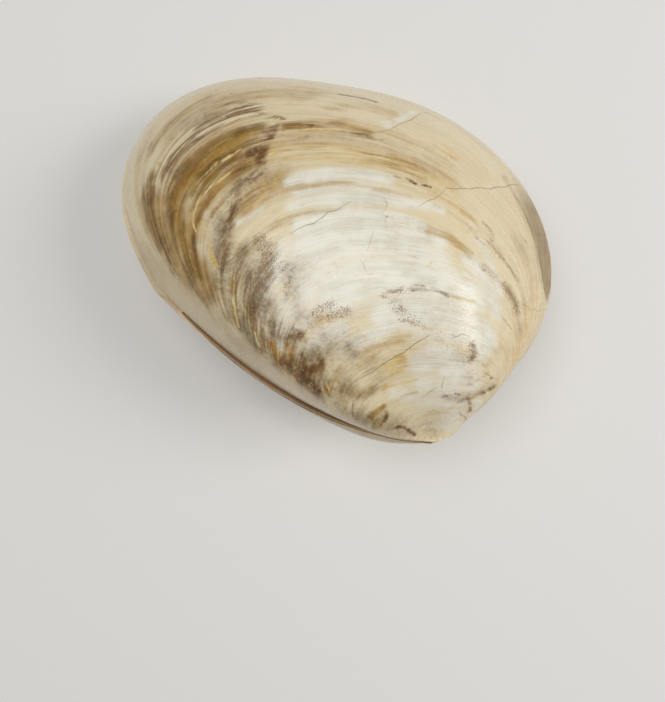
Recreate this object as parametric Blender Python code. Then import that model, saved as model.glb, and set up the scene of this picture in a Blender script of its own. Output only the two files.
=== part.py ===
"""Fossil clam lying closed on one valve.

Three solids: the upper valve, the lower valve, and the thin ligament that fills the groove
along the hinge side of the seam.  Each valve is one swept surface: a closed margin curve is
scaled down to the beak, turned a little at every step and lifted off the seam plane, the way
a clam lays down its growth lines.  Metres, +Z up, standing on z = 0.
"""
import math

import bmesh
import bpy
import numpy as np
from mathutils import Vector

MM = 0.001

# ---- driving dimensions, millimetres and degrees ----
# margin of a valve: radius about an inner centre, as a mean and four harmonics
CENTRE = (-21.0, 44.75)
MEAN_RADIUS = 41.85
WAVES = ((1, -0.26, -4.02), (2, 1.92, -4.21), (3, 0.56, 2.16), (4, 0.0, -1.16))
HINGE_END = 199.25
FRONT_END = -31.5
# younger growth lines are a little narrower than a scaled copy of the margin
YOUNG_WAVES = ((1, 0.004, -0.138), (2, -0.086, -0.069))
TURN = 25.5
# height of a valve and how it falls off towards the margin and towards the hinge side
VALVE_HEIGHT = 23.2
EDGE_FALL = 0.85
SIDE_FALL = 0.61
FRONT_FALL = 0.45
# the very tip of the beak is blunt: size as a share of the shell, and how strongly
BLUNT_TIP = 0.16
BLUNT_POWER = 0.35
# the swollen part leans out over the front of the hinge, more so towards the beak
LEAN = (24.4, -19.3)
LEAN_POWER = 1.3
LEAN_FALL = 0.63
# seam, hinge groove and ligament
SEAM_GAP = 0.30
SLIP = 1.1
LIGAMENT_SPAN = (0.03, 0.90)
LIGAMENT_RADII = ((0.0, 0.28), (0.2, 0.42), (0.45, 0.66), (0.65, 0.75), (0.8, 0.60), (1.0, 0.25))
# how far the ligament's middle stands out of the upper edge, as a share of its own radius
LIGAMENT_OUT = 0.5
GROOVE_CLEARANCE = 0.30
# how the clam lies
TILT = -10.5
REST_DEPTH = 0.60
FLOOR_SIZE = 200.0
# mesh fineness
LINES = 34
RAYS = 60
LIGAMENT_STEPS = 36


def clear_scene():
    """Remove every object, so that the script can be run again."""
    for obj in list(bpy.data.objects):
        bpy.data.objects.remove(obj, do_unlink=True)


def new_collection(name):
    """A fresh collection under the scene."""
    collection = bpy.data.collections.new(name)
    bpy.context.scene.collection.children.link(collection)
    return collection


def material(name, colour, roughness):
    """A Principled material with one flat colour."""
    mat = bpy.data.materials.new(name)
    mat.use_nodes = True
    shader = mat.node_tree.nodes["Principled BSDF"]
    shader.inputs["Base Color"].default_value = (*colour, 1.0)
    shader.inputs["Roughness"].default_value = roughness
    shader.inputs["Metallic"].default_value = 0.0
    mat.diffuse_color = (*colour, 1.0)
    return mat


def wave_sum(waves, angle):
    """Sum of a*cos(k*angle) + b*sin(k*angle) over the rows (k, a, b)."""
    total = np.zeros_like(angle)
    for k, a, b in waves:
        total = total + a * np.cos(k * angle) + b * np.sin(k * angle)
    return total


def valve_surface(s, t):
    """Points of the valve: s runs from the beak (0) to the margin (1), t round a growth line.

    x, y lie in the seam plane with the beak at the origin; the third value is the height
    above that plane.
    """
    angle = np.radians(HINGE_END + (FRONT_END - HINGE_END) * t)
    radius = MEAN_RADIUS + wave_sum(WAVES, angle)
    radius = radius * (1.0 + 4.0 * s * (1.0 - s) * wave_sum(YOUNG_WAVES, angle))
    x = CENTRE[0] + radius * np.cos(angle)
    y = CENTRE[1] + radius * np.sin(angle)
    turn = math.radians(TURN) * (1.0 - s)
    across_x = s * (np.cos(turn) * x - np.sin(turn) * y)
    across_y = s * (np.sin(turn) * x + np.cos(turn) * y)
    top = 1.0 / (1.0 + 2.0 * EDGE_FALL)
    rise = s / math.sqrt(top) * (np.maximum(1.0 - s * s, 0.0) / (1.0 - top)) ** EDGE_FALL
    tip = BLUNT_TIP * BLUNT_TIP
    blunt = (s * s * (1.0 + tip) / (s * s + tip)) ** BLUNT_POWER
    arch = np.maximum(np.sin(math.pi * t), 1e-9)
    height = VALVE_HEIGHT * rise * blunt * arch ** SIDE_FALL * (1.0 - FRONT_FALL * t * t)
    lean = (1.0 - s ** LEAN_POWER) * rise * blunt * arch ** LEAN_FALL
    return across_x + LEAN[0] * lean, across_y + LEAN[1] * lean, height


def crowd_ends(a, share):
    """Even steps 0..1 drawn together at both ends."""
    return (1.0 - share) * a + share * 0.5 * (1.0 - np.cos(math.pi * a))


def hinge_edge(s):
    """The straightish hinge side of the seam, and the direction that points out of the shell."""
    step = 0.002
    here = valve_surface(s, np.zeros_like(s))
    ahead = valve_surface(s + step, np.zeros_like(s))
    along = np.stack([ahead[0] - here[0], ahead[1] - here[1]], axis=1)
    along = along / np.linalg.norm(along, axis=1)[:, None]
    outward = np.stack([-along[:, 1], along[:, 0]], axis=1)
    return np.stack([here[0], here[1]], axis=1), outward


def make_valve(name, side, slip, mat, collection, parent):
    """One closed valve: a grid pulled onto the growth surface, with a flat face on the seam."""
    bm = bmesh.new()
    bmesh.ops.create_grid(bm, x_segments=LINES, y_segments=RAYS, size=0.5)
    flat = np.array([vertex.co[:2] for vertex in bm.verts]) + 0.5
    s = crowd_ends(np.clip(flat[:, 0], 0.0, 1.0), 0.65)
    t = crowd_ends(np.clip(flat[:, 1], 0.0, 1.0), 0.70)
    x, y, height = valve_surface(s, t)
    for vertex, px, py, pz in zip(bm.verts, x + slip[0], y + slip[1], height):
        vertex.co = Vector((px, py, side * (pz + SEAM_GAP / 2))) * MM
    bmesh.ops.remove_doubles(bm, verts=bm.verts[:], dist=1e-6)
    rim = [edge for edge in bm.edges if edge.is_boundary]
    bmesh.ops.triangle_fill(bm, edges=rim, use_beauty=True)
    bmesh.ops.recalc_face_normals(bm, faces=bm.faces[:])
    for face in bm.faces:
        face.smooth = True
    mesh = bpy.data.meshes.new(name)
    bm.to_mesh(mesh)
    bm.free()
    obj = bpy.data.objects.new(name, mesh)
    obj.data.materials.append(mat)
    obj.parent = parent
    collection.objects.link(obj)
    return obj


def make_rod(name, extra, mat, collection, parent):
    """A tapered rod along the hinge side of the seam; extra widens it into a cutter."""
    part = np.linspace(0.0, 1.0, LIGAMENT_STEPS)
    s = LIGAMENT_SPAN[0] + (LIGAMENT_SPAN[1] - LIGAMENT_SPAN[0]) * part
    centre, outward = hinge_edge(s)
    stops = np.array(LIGAMENT_RADII)
    radii = np.interp(part, stops[:, 0], stops[:, 1])
    path = centre + outward * (LIGAMENT_OUT * radii)[:, None]
    radii = radii + extra
    if extra > 0.0:
        ends = (path[0] + (path[0] - path[1]) * 0.3, path[-1] + (path[-1] - path[-2]) * 0.3)
        path = np.vstack([ends[0], path[1:-1], ends[1]])
    curve = bpy.data.curves.new(name + "_path", "CURVE")
    curve.dimensions = "3D"
    curve.bevel_depth = MM
    curve.bevel_resolution = 3
    curve.use_fill_caps = True
    spline = curve.splines.new("POLY")
    spline.points.add(len(path) - 1)
    for point, place, radius in zip(spline.points, path, radii):
        point.co = (place[0] * MM, place[1] * MM, 0.0, 1.0)
        point.radius = radius
    swept = bpy.data.objects.new(name + "_path", curve)
    collection.objects.link(swept)
    mesh = bpy.data.meshes.new_from_object(swept.evaluated_get(bpy.context.evaluated_depsgraph_get()))
    bpy.data.objects.remove(swept, do_unlink=True)
    bm = bmesh.new()
    bm.from_mesh(mesh)
    bmesh.ops.remove_doubles(bm, verts=bm.verts[:], dist=1e-6)
    bmesh.ops.recalc_face_normals(bm, faces=bm.faces[:])
    for face in bm.faces:
        face.smooth = True
    bm.to_mesh(mesh)
    bm.free()
    mesh.name = name
    obj = bpy.data.objects.new(name, mesh)
    obj.data.materials.clear()
    obj.data.materials.append(mat)
    obj.parent = parent
    collection.objects.link(obj)
    return obj


def make_box(name, size, centre, mat, collection):
    """A plain cutter block, sizes in millimetres."""
    bm = bmesh.new()
    bmesh.ops.create_cube(bm, size=1.0)
    bmesh.ops.scale(bm, verts=bm.verts[:], vec=Vector(size) * MM)
    bmesh.ops.translate(bm, verts=bm.verts[:], vec=Vector(centre) * MM)
    mesh = bpy.data.meshes.new(name)
    bm.to_mesh(mesh)
    bm.free()
    obj = bpy.data.objects.new(name, mesh)
    obj.data.materials.append(mat)
    collection.objects.link(obj)
    return obj


def cut(target, cutter, label):
    """Exact Boolean difference that stays live on the target."""
    modifier = target.modifiers.new(label, "BOOLEAN")
    modifier.operation = "DIFFERENCE"
    modifier.solver = "EXACT"
    modifier.object = cutter
    cutter.hide_render = True
    cutter.display_type = "WIRE"


def world_points(objects):
    """All mesh points of the objects in the world, before any modifier."""
    bpy.context.view_layer.update()
    rows = []
    for obj in objects:
        rows.extend(obj.matrix_world @ vertex.co for vertex in obj.data.vertices)
    return np.array(rows)


def main():
    clear_scene()
    collection = new_collection("fossil_clam")
    cutters = new_collection("fossil_clam_cutters")
    cream = material("polished_cream_stone", (0.62, 0.54, 0.41), 0.28)
    tan = material("polished_tan_stone", (0.55, 0.45, 0.32), 0.30)
    brown = material("brown_ligament", (0.20, 0.13, 0.07), 0.60)
    steel = material("cutter", (0.5, 0.5, 0.5), 0.5)

    lying = bpy.data.objects.new("fossil_clam_pose", None)
    collection.objects.link(lying)
    lying.rotation_euler = (math.radians(TILT), 0.0, 0.0)

    _, outward = hinge_edge(np.array([0.55]))
    slip = tuple(outward[0] * SLIP)
    upper = make_valve("upper_valve", 1.0, (0.0, 0.0), cream, collection, lying)
    lower = make_valve("lower_valve", -1.0, slip, tan, collection, lying)
    make_rod("hinge_ligament", 0.0, brown, collection, lying)
    groove = make_rod("hinge_groove_cutter", GROOVE_CLEARANCE, steel, cutters, lying)
    cut(upper, groove, "hinge_groove")
    cut(lower, groove, "hinge_groove")

    # lay the clam down: centred over the origin, sunk by the rest flat that is cut away
    points = world_points((upper, lower))
    low = points.min(axis=0)
    high = points.max(axis=0)
    middle = (low + high) / 2
    lying.location = (-middle[0], -middle[1], -low[2] - REST_DEPTH * MM)
    floor = make_box("floor_cutter", (FLOOR_SIZE, FLOOR_SIZE, 20.0), (0.0, 0.0, -10.0), steel, cutters)
    cut(lower, floor, "rest_flat")
    bpy.context.view_layer.update()
    print("pose location mm:", tuple(round(value / MM, 3) for value in lying.location))
    print("size mm:", tuple(round(value, 2) for value in (high - low) / MM))


main()
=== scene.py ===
# %% [markdown]
# # A polished fossil clam
#
# A clam that turned to stone and was then polished: two closed valves and the thin brown
# ligament that once held them together.  The packed solids give the place, and the same named
# dimensions give the size.  This lesson gives each solid a finer skin of its own and a stone
# finish, made from the way the shell grew.

# %% Load the packed solids
import math
from types import SimpleNamespace

import bmesh
import bpy
import numpy as np
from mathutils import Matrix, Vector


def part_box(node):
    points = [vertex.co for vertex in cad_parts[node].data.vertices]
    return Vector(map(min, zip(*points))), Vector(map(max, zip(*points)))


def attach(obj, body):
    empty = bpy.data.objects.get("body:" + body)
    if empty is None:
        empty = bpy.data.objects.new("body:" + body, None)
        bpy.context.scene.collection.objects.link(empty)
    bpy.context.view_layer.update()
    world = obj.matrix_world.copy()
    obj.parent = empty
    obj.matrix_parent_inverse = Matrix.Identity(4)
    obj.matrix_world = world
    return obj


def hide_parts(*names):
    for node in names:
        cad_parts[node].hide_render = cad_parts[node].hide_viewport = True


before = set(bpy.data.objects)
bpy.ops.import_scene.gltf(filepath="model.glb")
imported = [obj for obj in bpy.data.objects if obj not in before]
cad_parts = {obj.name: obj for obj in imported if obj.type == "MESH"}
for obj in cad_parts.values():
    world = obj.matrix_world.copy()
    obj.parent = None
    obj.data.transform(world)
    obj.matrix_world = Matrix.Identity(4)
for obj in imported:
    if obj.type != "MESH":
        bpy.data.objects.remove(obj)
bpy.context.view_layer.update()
print("nodes:", sorted(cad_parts))

# %% [markdown]
# ## How a clam grows
#
# A clam adds a thin line of shell to its open margin, again and again.  Every growth line is
# therefore a small, slightly turned copy of the margin, and the whole valve is one surface
# with two parameters: how much had grown (0 at the beak, 1 at the margin), and how far round
# the growth line (0 at the hinge end behind, 1 at the front end).  Sculpting could give the
# same outline, but only this gives lines, bands and stains a direction to follow for free.

# %% The margin and the swelling, in millimetres and degrees
MM = 0.001
TINY = 1e-9
# margin of a valve: radius about an inner centre, as a mean and four waves
CENTRE = (-21.0, 44.75)
MEAN_RADIUS = 41.85
WAVES = ((1, -0.26, -4.02), (2, 1.92, -4.21), (3, 0.56, 2.16), (4, 0.0, -1.16))
HINGE_END = 199.25
FRONT_END = -31.5
# half-grown lines are a little narrower than a scaled copy of the margin
YOUNG_WAVES = ((1, 0.004, -0.138), (2, -0.086, -0.069))
TURN = 25.5
# height of a valve before it falls off to the margin, to both hinge ends and to the front
VALVE_HEIGHT = 23.2
EDGE_FALL = 0.85
SIDE_FALL = 0.61
FRONT_FALL = 0.45
# the very tip of the beak is blunt: size as a share of the shell, and how strongly
BLUNT_TIP = 0.16
BLUNT_POWER = 0.35
# the swollen part leans out over the front of the hinge, more so towards the beak
LEAN = (24.4, -19.3)
LEAN_POWER = 1.3
LEAN_FALL = 0.63
# half of the gap between the valves, and how far the lower one has slipped
HALF_SEAM = 0.15
SLIP = 1.1
print("mean radius of the margin:", MEAN_RADIUS, "mm")

# %% The growth surface
def wave_sum(waves, angle):
    """Sum of a*cos(k*angle) + b*sin(k*angle) over the rows (k, a, b)."""
    total = np.zeros_like(angle)
    for k, a, b in waves:
        total = total + a * np.cos(k * angle) + b * np.sin(k * angle)
    return total


def growth_surface(s, t):
    """Place on the valve for growth s and way round t, as x, y in the seam plane and height.

    The growth line of size s is the margin times s, turned by TURN*(1 - s), and half grown it
    is also narrowed by YOUNG_WAVES.  Height rises from the beak and falls again to the margin
    as s*(1 - s*s)**EDGE_FALL, and round the line it goes as sin(pi*t)**SIDE_FALL.  A factor
    (s*s/(s*s + BLUNT_TIP**2))**BLUNT_POWER blunts the tip.  The swollen part leans out by LEAN
    times its rise times 1 - s**LEAN_POWER.
    """
    angle = np.radians(HINGE_END + (FRONT_END - HINGE_END) * t)
    radius = MEAN_RADIUS + wave_sum(WAVES, angle)
    radius = radius * (1.0 + 4.0 * s * (1.0 - s) * wave_sum(YOUNG_WAVES, angle))
    x = CENTRE[0] + radius * np.cos(angle)
    y = CENTRE[1] + radius * np.sin(angle)
    turn = math.radians(TURN) * (1.0 - s)
    across_x = s * (np.cos(turn) * x - np.sin(turn) * y)
    across_y = s * (np.sin(turn) * x + np.cos(turn) * y)
    top = 1.0 / (1.0 + 2.0 * EDGE_FALL)
    rise = s / math.sqrt(top) * (np.maximum(1.0 - s * s, 0.0) / (1.0 - top)) ** EDGE_FALL
    tip = BLUNT_TIP * BLUNT_TIP
    blunt = (s * s * (1.0 + tip) / (s * s + tip)) ** BLUNT_POWER
    arch = np.maximum(np.sin(math.pi * t), TINY)
    height = VALVE_HEIGHT * rise * blunt * arch ** SIDE_FALL * (1.0 - FRONT_FALL * t * t)
    lean = (1.0 - s ** LEAN_POWER) * rise * blunt * arch ** LEAN_FALL
    return across_x + LEAN[0] * lean, across_y + LEAN[1] * lean, height


def smooth_skin(s, t):
    """Points of the upper valve's smooth skin at (s, t), half a seam above the seam plane."""
    x, y, height = growth_surface(s, t)
    return np.stack([x, y, height + HALF_SEAM], axis=-1)


def even_grid(rows, columns, first=0.0):
    """Growth from first to 1 and way round from 0 to 1, in even steps, as two arrays."""
    grow = np.linspace(first, 1.0, rows)
    return np.meshgrid(grow, np.linspace(0.0, 1.0, columns), indexing="ij")


whole_valve = smooth_skin(*even_grid(400, 400))
print("height of one valve: %.1f mm" % (whole_valve[..., 2].max() - HALF_SEAM))

# %% [markdown]
# ## The view comes first
#
# The camera looks straight down from close above, as someone bending over a small specimen
# would.  It is settled before the marks, because every mark is noted where it lies in the
# view: so many steps across and down a picture of 665 by 702 steps, from its top left corner.

# %% The camera's place in millimetres, and its picture in steps
PICTURE_WIDTH = 665
PICTURE_HEIGHT = 702
FOCAL_STEPS = 556.0
EYE = np.array((-0.17, -20.88, 136.86))


def in_picture(points):
    """Steps across and down for points in mm: FOCAL_STEPS times the sideways shift over depth."""
    scale = FOCAL_STEPS / (EYE[2] - points[..., 2])
    across = PICTURE_WIDTH / 2 + scale * (points[..., 0] - EYE[0])
    down = PICTURE_HEIGHT / 2 - scale * (points[..., 1] - EYE[1])
    return np.stack([across, down], axis=-1)


print("steps in a millimetre on the floor: %.2f" % (FOCAL_STEPS / EYE[2]))

# %% [markdown]
# ## How the clam lies
#
# The closed clam lies on its lower valve, tipped a little towards the hinge.  The turn is known
# and the place comes from the packed solid: the turned surface is moved until the middle of its
# box is the middle of the solid's box.  The tip of the beak is worn, so the points near it are
# nudged last.  All of this goes into the mesh points themselves, so that each object stays at
# the origin.

# %% Lay the shell down
TILT = math.radians(-10.5)
SKIN_SHARE = 0.9994
# place, reach and nudge in mm: one draws the sharp tip in, one swells the dome in front of it
BEAK_NUDGES = (((21.5, -39.0), 1.2, (-0.25, 0.50)), ((24.0, -37.2), 2.4, (0.35, -0.75)))


def turned(points):
    """Points turned about +X by TILT."""
    x, y, z = points[..., 0], points[..., 1], points[..., 2]
    across = y * math.cos(TILT) - z * math.sin(TILT)
    up = y * math.sin(TILT) + z * math.cos(TILT)
    return np.stack([x, across, up], axis=-1)


def middle_of(low, high):
    """The middle between two corners."""
    return (np.array(low) + np.array(high)) / 2


turned_valve = turned(whole_valve).reshape(-1, 3)
solid_low, solid_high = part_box("upper_valve")
solid_middle = middle_of(solid_low, solid_high) / MM
lying = solid_middle - middle_of(turned_valve.min(axis=0), turned_valve.max(axis=0))


def worn_beak(points):
    """Points moved level with the floor by each nudge times exp(-(distance/reach)**2)."""
    moved = points.copy()
    for place, reach, nudge in BEAK_NUDGES:
        far = ((points[..., :2] - np.array(place)) ** 2).sum(axis=-1) / reach ** 2
        moved[..., :2] += np.exp(-far)[..., None] * np.array(nudge)
    return moved


def lay_down(points):
    """Turned points moved by lying, drawn together by SKIN_SHARE to stay inside the solid."""
    return worn_beak(solid_middle + (turned(points) + lying - solid_middle) * SKIN_SHARE)


print("beak at", np.round(lay_down(np.zeros(3)), 1), "mm")

# %% [markdown]
# ## The hinge side
#
# Along the hinge side a thin tapered ligament fills a groove between the valves.  Its middle
# runs along the edge of the upper valve, half a radius outside it.  Both valves need to know
# this edge, the direction out of the shell, and the ligament's radius at every growth line.

# %% The edge, its outward direction and the ligament's radius
# growth at both ends of the ligament, and its radius in mm at shares of the way between them
LIGAMENT_SPAN = (0.03, 0.90)
LIGAMENT_RADII = ((0.0, 0.28), (0.2, 0.42), (0.45, 0.66), (0.65, 0.75), (0.8, 0.60), (1.0, 0.25))
# share of the span past each end over which the radius falls to nothing
LIGAMENT_FADE = 0.03
# how far the ligament's middle stands out of the upper edge, as a share of its own radius
LIGAMENT_OUT = 0.5
# growth at which the direction of the slip is read, and a small step along the growth
SLIP_READ_AT = 0.55
SMALL_STEP = 0.002


def hinge_edge(s):
    """The hinge side of the seam (t = 0) at growth s, and the unit direction out of it."""
    here = growth_surface(s, np.zeros_like(s))
    ahead = growth_surface(s + SMALL_STEP, np.zeros_like(s))
    along = np.stack([ahead[0] - here[0], ahead[1] - here[1]], axis=-1)
    along = along / np.linalg.norm(along, axis=-1, keepdims=True)
    outward = np.stack([-along[..., 1], along[..., 0]], axis=-1)
    return np.stack([here[0], here[1]], axis=-1), outward


def ligament_radius(s):
    """Radius of the ligament at growth s, in straight lines between LIGAMENT_RADII."""
    stops = np.array(LIGAMENT_RADII)
    part = (s - LIGAMENT_SPAN[0]) / (LIGAMENT_SPAN[1] - LIGAMENT_SPAN[0])
    places = np.concatenate([[-LIGAMENT_FADE], stops[:, 0], [1.0 + LIGAMENT_FADE]])
    sizes = np.concatenate([[0.0], stops[:, 1], [0.0]])
    return np.interp(part, places, sizes)


slip_way = hinge_edge(np.array([SLIP_READ_AT]))[1][0]
print("lower valve slipped by", np.round(slip_way * SLIP, 2), "mm")

# %% [markdown]
# ## Where the growth lines really run
#
# Behind, the later lines, near the margin, bend in towards the beak before they reach the
# hinge, and in front all but the earliest dip a little.  A corrected growth value is constant
# along each visible line, so ridges, bands and streaks all use it instead of s.

# %% Corrected growth value
# both bends: where round the line it starts, over how much, the growth it adds and its power
BEND_BEHIND = (0.20, 0.12, 0.085, 1.7)
BEND_IN_FRONT = (0.82, 0.08, 0.045, 2)
BEND_LIMIT = 1.6
# growth where the bend behind sets in, over how much it does, and where the other is full
BEHIND_FROM = 0.5
BEHIND_OVER = 0.25
FRONT_FULL_AT = 0.5


def ramp(way, length):
    """0 before the start of the way, 1 once it is as long as length, straight in between."""
    return np.clip(way / length, 0.0, 1.0)


def bell(way, reach):
    """exp(-(way/reach)**2)."""
    return np.exp(-(way / reach) ** 2)


def growth_line(s, t):
    """s plus amount*(way past the start/over)**power for the bend behind and the one in front.

    The first sets in past a growth of BEHIND_FROM, the second is full from FRONT_FULL_AT on.
    """
    start, over, amount, power = BEND_BEHIND
    behind = amount * np.clip((start - t) / over, 0.0, BEND_LIMIT) ** power
    start, over, amount, power = BEND_IN_FRONT
    front = amount * np.clip((t - start) / over, 0.0, BEND_LIMIT) ** power
    return s + behind * ramp(s - BEHIND_FROM, BEHIND_OVER) ** 2 + front * ramp(s, FRONT_FULL_AT)


print("line at the front:", round(float(growth_line(np.array(0.93), np.array(0.95))), 2))

# %% [markdown]
# ## From the picture onto the shell
#
# A mark is noted as a few places in the picture.  A fine table of the smooth valve, seen from
# the camera, gives the growth and the way round of the point that lies behind each place.  Only
# points that face the camera count, so nothing lands on the far side of the rim.

# %% A table of the visible shell
TABLE_ROWS = 330
TABLE_COLUMNS = 420
TABLE_FROM = 0.02
# smallest cosine between a facing point's normal and the way to the eye
GRAZING = 0.02
MIDDLE_OF_SHELL = (332.5, 260.0)


def unit_normals(points):
    """Unit normals of a grid of points: the cross product of its two directions."""
    normal = np.cross(np.gradient(points, axis=1), np.gradient(points, axis=0))
    length = np.linalg.norm(normal, axis=-1, keepdims=True)
    return normal / np.maximum(length, TINY)


table_grow, table_way = even_grid(TABLE_ROWS, TABLE_COLUMNS, TABLE_FROM)
table_skin = smooth_skin(table_grow, table_way)
table_laid = lay_down(table_skin)
to_eye = EYE - table_laid
along_normal = (turned(unit_normals(table_skin)) * to_eye).sum(axis=-1)
facing = along_normal > GRAZING * np.linalg.norm(to_eye, axis=-1)
seen = in_picture(table_laid)[facing]
seen_way = table_way[facing]
seen_grow = table_grow[facing]


def on_shell(places):
    """(t, s) on the shell behind each (across, down) place of the picture."""
    found = [int(((seen - np.array(place)) ** 2).sum(axis=1).argmin()) for place in places]
    return tuple((float(seen_way[k]), float(seen_grow[k])) for k in found)


print("shell behind its middle in the picture:", np.round(on_shell([MIDDLE_OF_SHELL]), 3))

# %% [markdown]
# ## Relief of the growth lines
#
# Polishing took most of the relief away, but fine lines and a few ledges are left, strongest
# behind and along the front edge.  Two tables give the depth along the growth value, one for
# the fine lines and one for the ledges.  The relief only ever cuts into the stone, so the skin
# stays inside the solid.

# %% Tables of fine lines and ledges
rng = np.random.default_rng(7)
TABLE_STEPS = 8000
TABLE_END = 1.3
FINE_LINES = 190
FINE_FROM = 0.10
FINE_DEPTHS = (0.010, 0.045)
# growth and depth in mm of each ledge
LEDGES = (
    (0.30, 0.03), (0.40, 0.03), (0.51, 0.06), (0.555, 0.03), (0.645, 0.08), (0.68, 0.07),
    (0.705, 0.04), (0.75, 0.12), (0.79, 0.05), (0.835, 0.09), (0.875, 0.05), (0.92, 0.09),
    (0.955, 0.06),
)
# growth over which a line drops and over which it heals again
FINE_REACH = (0.0008, 0.006)
LEDGE_REACH = (0.0012, 0.016)
# a power of e past this is nothing or everything
LARGEST_POWER = 40
table_s = np.linspace(0.0, TABLE_END, TABLE_STEPS)


def stepped_table(places, depths, reach, heal):
    """Sum of one-sided steps: each drops by its depth within reach and heals over heal."""
    table = np.zeros(TABLE_STEPS)
    for place, depth in zip(places, depths):
        behind = table_s - place
        power = np.clip(behind / reach, -LARGEST_POWER, LARGEST_POWER)
        drop = 1.0 / (1.0 + np.exp(-power))
        table += depth * drop * np.exp(-np.maximum(behind, 0.0) / heal)
    return table


fine_places = np.sort(rng.uniform(FINE_FROM, TABLE_END, FINE_LINES))
fine_depths = rng.uniform(*FINE_DEPTHS, FINE_LINES)
fine_table = stepped_table(fine_places, fine_depths, *FINE_REACH)
ledge_places, ledge_depths = zip(*LEDGES)
ledge_table = stepped_table(ledge_places, ledge_depths, *LEDGE_REACH)
print("deepest place of both tables: %.2f mm" % (fine_table + ledge_table).max())

# %% [markdown]
# ## The step along the front edge
#
# Along the front the polished face ends at a crisp edge, and the last strip of shell lies a
# step deeper.  Its darker tone is partly a stain and partly painted shade of the steep strip.
# The edge is a short path in the picture, so its growth value is known at every t between its ends.

# %% Step along the front edge
FRONT_EDGE = (
    (498, 158), (505, 167), (510, 175), (515, 188), (522, 208),
    (530, 227), (537, 248), (541, 268), (544, 288), (546, 306),
)
FRONT_STEP = 0.32
# growth over which the step drops, and way round over which it comes in and goes out again
STEP_DROP = 0.006
STEP_COMES_IN = 0.09
STEP_GOES_OUT = 0.03
front_edge = np.array(on_shell(FRONT_EDGE))
front_edge = front_edge[np.argsort(front_edge[:, 0])]
edge_start, edge_stop = front_edge[0, 0], front_edge[-1, 0]


def past_front_edge(s, t):
    """0 on the polished face and 1 past its front edge, with a short ramp at the edge."""
    past = s - np.interp(t, front_edge[:, 0], front_edge[:, 1])
    comes_in = ramp(t - edge_start, STEP_COMES_IN)
    goes_out = ramp(edge_stop - t + STEP_GOES_OUT / 2, STEP_GOES_OUT)
    return ramp(past + STEP_DROP / 2, STEP_DROP) * comes_in * goes_out


print("front edge from t = %.2f to %.2f" % (edge_start, edge_stop))

# %% Relief of a valve
# how much of each table is cut: everywhere, more behind and more in front
FINE_LEFT = (0.40, 1.1, 0.7)
LEDGES_LEFT = (0.45, 0.9, 0.3)
# where round the line the relief is stronger, and how far from there
STRONG_BEHIND = (0.14, 0.18)
STRONG_IN_FRONT = (0.97, 0.13)
# how the lines wander: growth, swings round the line, swings along the growth and a start
WANDER = ((0.004, 9.0, 14.0, 0.0), (0.002, 31.0, 0.0, 3.0))


def relief(s, t):
    """Depth cut into the stone at (s, t), in millimetres, never negative.

    Each table is read at the wandering growth line and multiplied by what polishing left.
    """
    place = growth_line(s, t)
    for growth, round_it, along, start in WANDER:
        place = place + growth * np.sin(round_it * t + along * s + start)
    place = np.clip(place, 0.0, TABLE_END)
    behind = bell(t - STRONG_BEHIND[0], STRONG_BEHIND[1])
    front = bell(t - STRONG_IN_FRONT[0], STRONG_IN_FRONT[1])
    depth = FRONT_STEP * past_front_edge(s, t)
    for table, left in ((fine_table, FINE_LEFT), (ledge_table, LEDGES_LEFT)):
        share = left[0] + left[1] * behind + left[2] * front
        depth = depth + np.interp(place, table_s, table) * share
    return depth


print("deepest cut: %.2f mm" % relief(*even_grid(400, 400)).max())

# %% [markdown]
# ## The groove of the ligament
#
# The ligament lies in a groove that both valves share.  In each valve it is part of a circle
# round the ligament's middle.  It could be cut out with a Boolean, but a few more columns on
# the valve's own grid give the same wall, and the mesh stays even.

# %% Slip and circle of the groove
# growth from which on the lower valve is slipped all the way
FULL_SLIP_AT = 0.30
# room between the ligament and the groove, and how much the circle clears half the seam
GROOVE_ROOM = 0.12
GROOVE_RISE = 0.03
# growth over which the groove closes at both ends
GROOVE_CLOSES = 0.04


def slip_share(s):
    """Share of the slip at growth s: part*(2 - part), with part the way to FULL_SLIP_AT."""
    part = ramp(s, FULL_SLIP_AT)
    return part * (2.0 - part)


def groove_circle(s, slip):
    """The circle's middle, measured out of the valve's edge, its radius, and how open it is."""
    radius = ligament_radius(s)
    outward = hinge_edge(s)[1]
    middle = LIGAMENT_OUT * radius - slip * slip_share(s) * (outward @ slip_way)
    opened = ramp(np.minimum(s, 1.0 - s), GROOVE_CLOSES)
    return middle, np.maximum(radius + GROOVE_ROOM, HALF_SEAM + GROOVE_RISE), opened


print("share of the slip at a growth of 0.1: %.2f" % slip_share(0.1))

# %% Lifted edge and grid of the groove
GROOVE_COLUMNS = 9
# height over which a lift fades, and how far inside the valve's edge the arc ends at least
LIFT_FADES = 1.4
GROOVE_INSIDE = 0.03


def lifted(height, s, slip):
    """Heights of the skin with its edge lifted to the circle, where that passes under it.

    Height becomes the root of height**2 + lift**2*exp(-(height/LIFT_FADES)**2).
    """
    middle, radius, opened = groove_circle(s, slip)
    lift = np.sqrt(np.maximum(radius ** 2 - middle ** 2, HALF_SEAM ** 2)) - HALF_SEAM
    covers = middle + np.sqrt(radius ** 2 - HALF_SEAM ** 2) > 0.0
    lift = np.where(covers, lift, 0.0) * opened
    return np.sqrt(height ** 2 + (lift[:, None] ** 2) * bell(height, LIFT_FADES))


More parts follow.
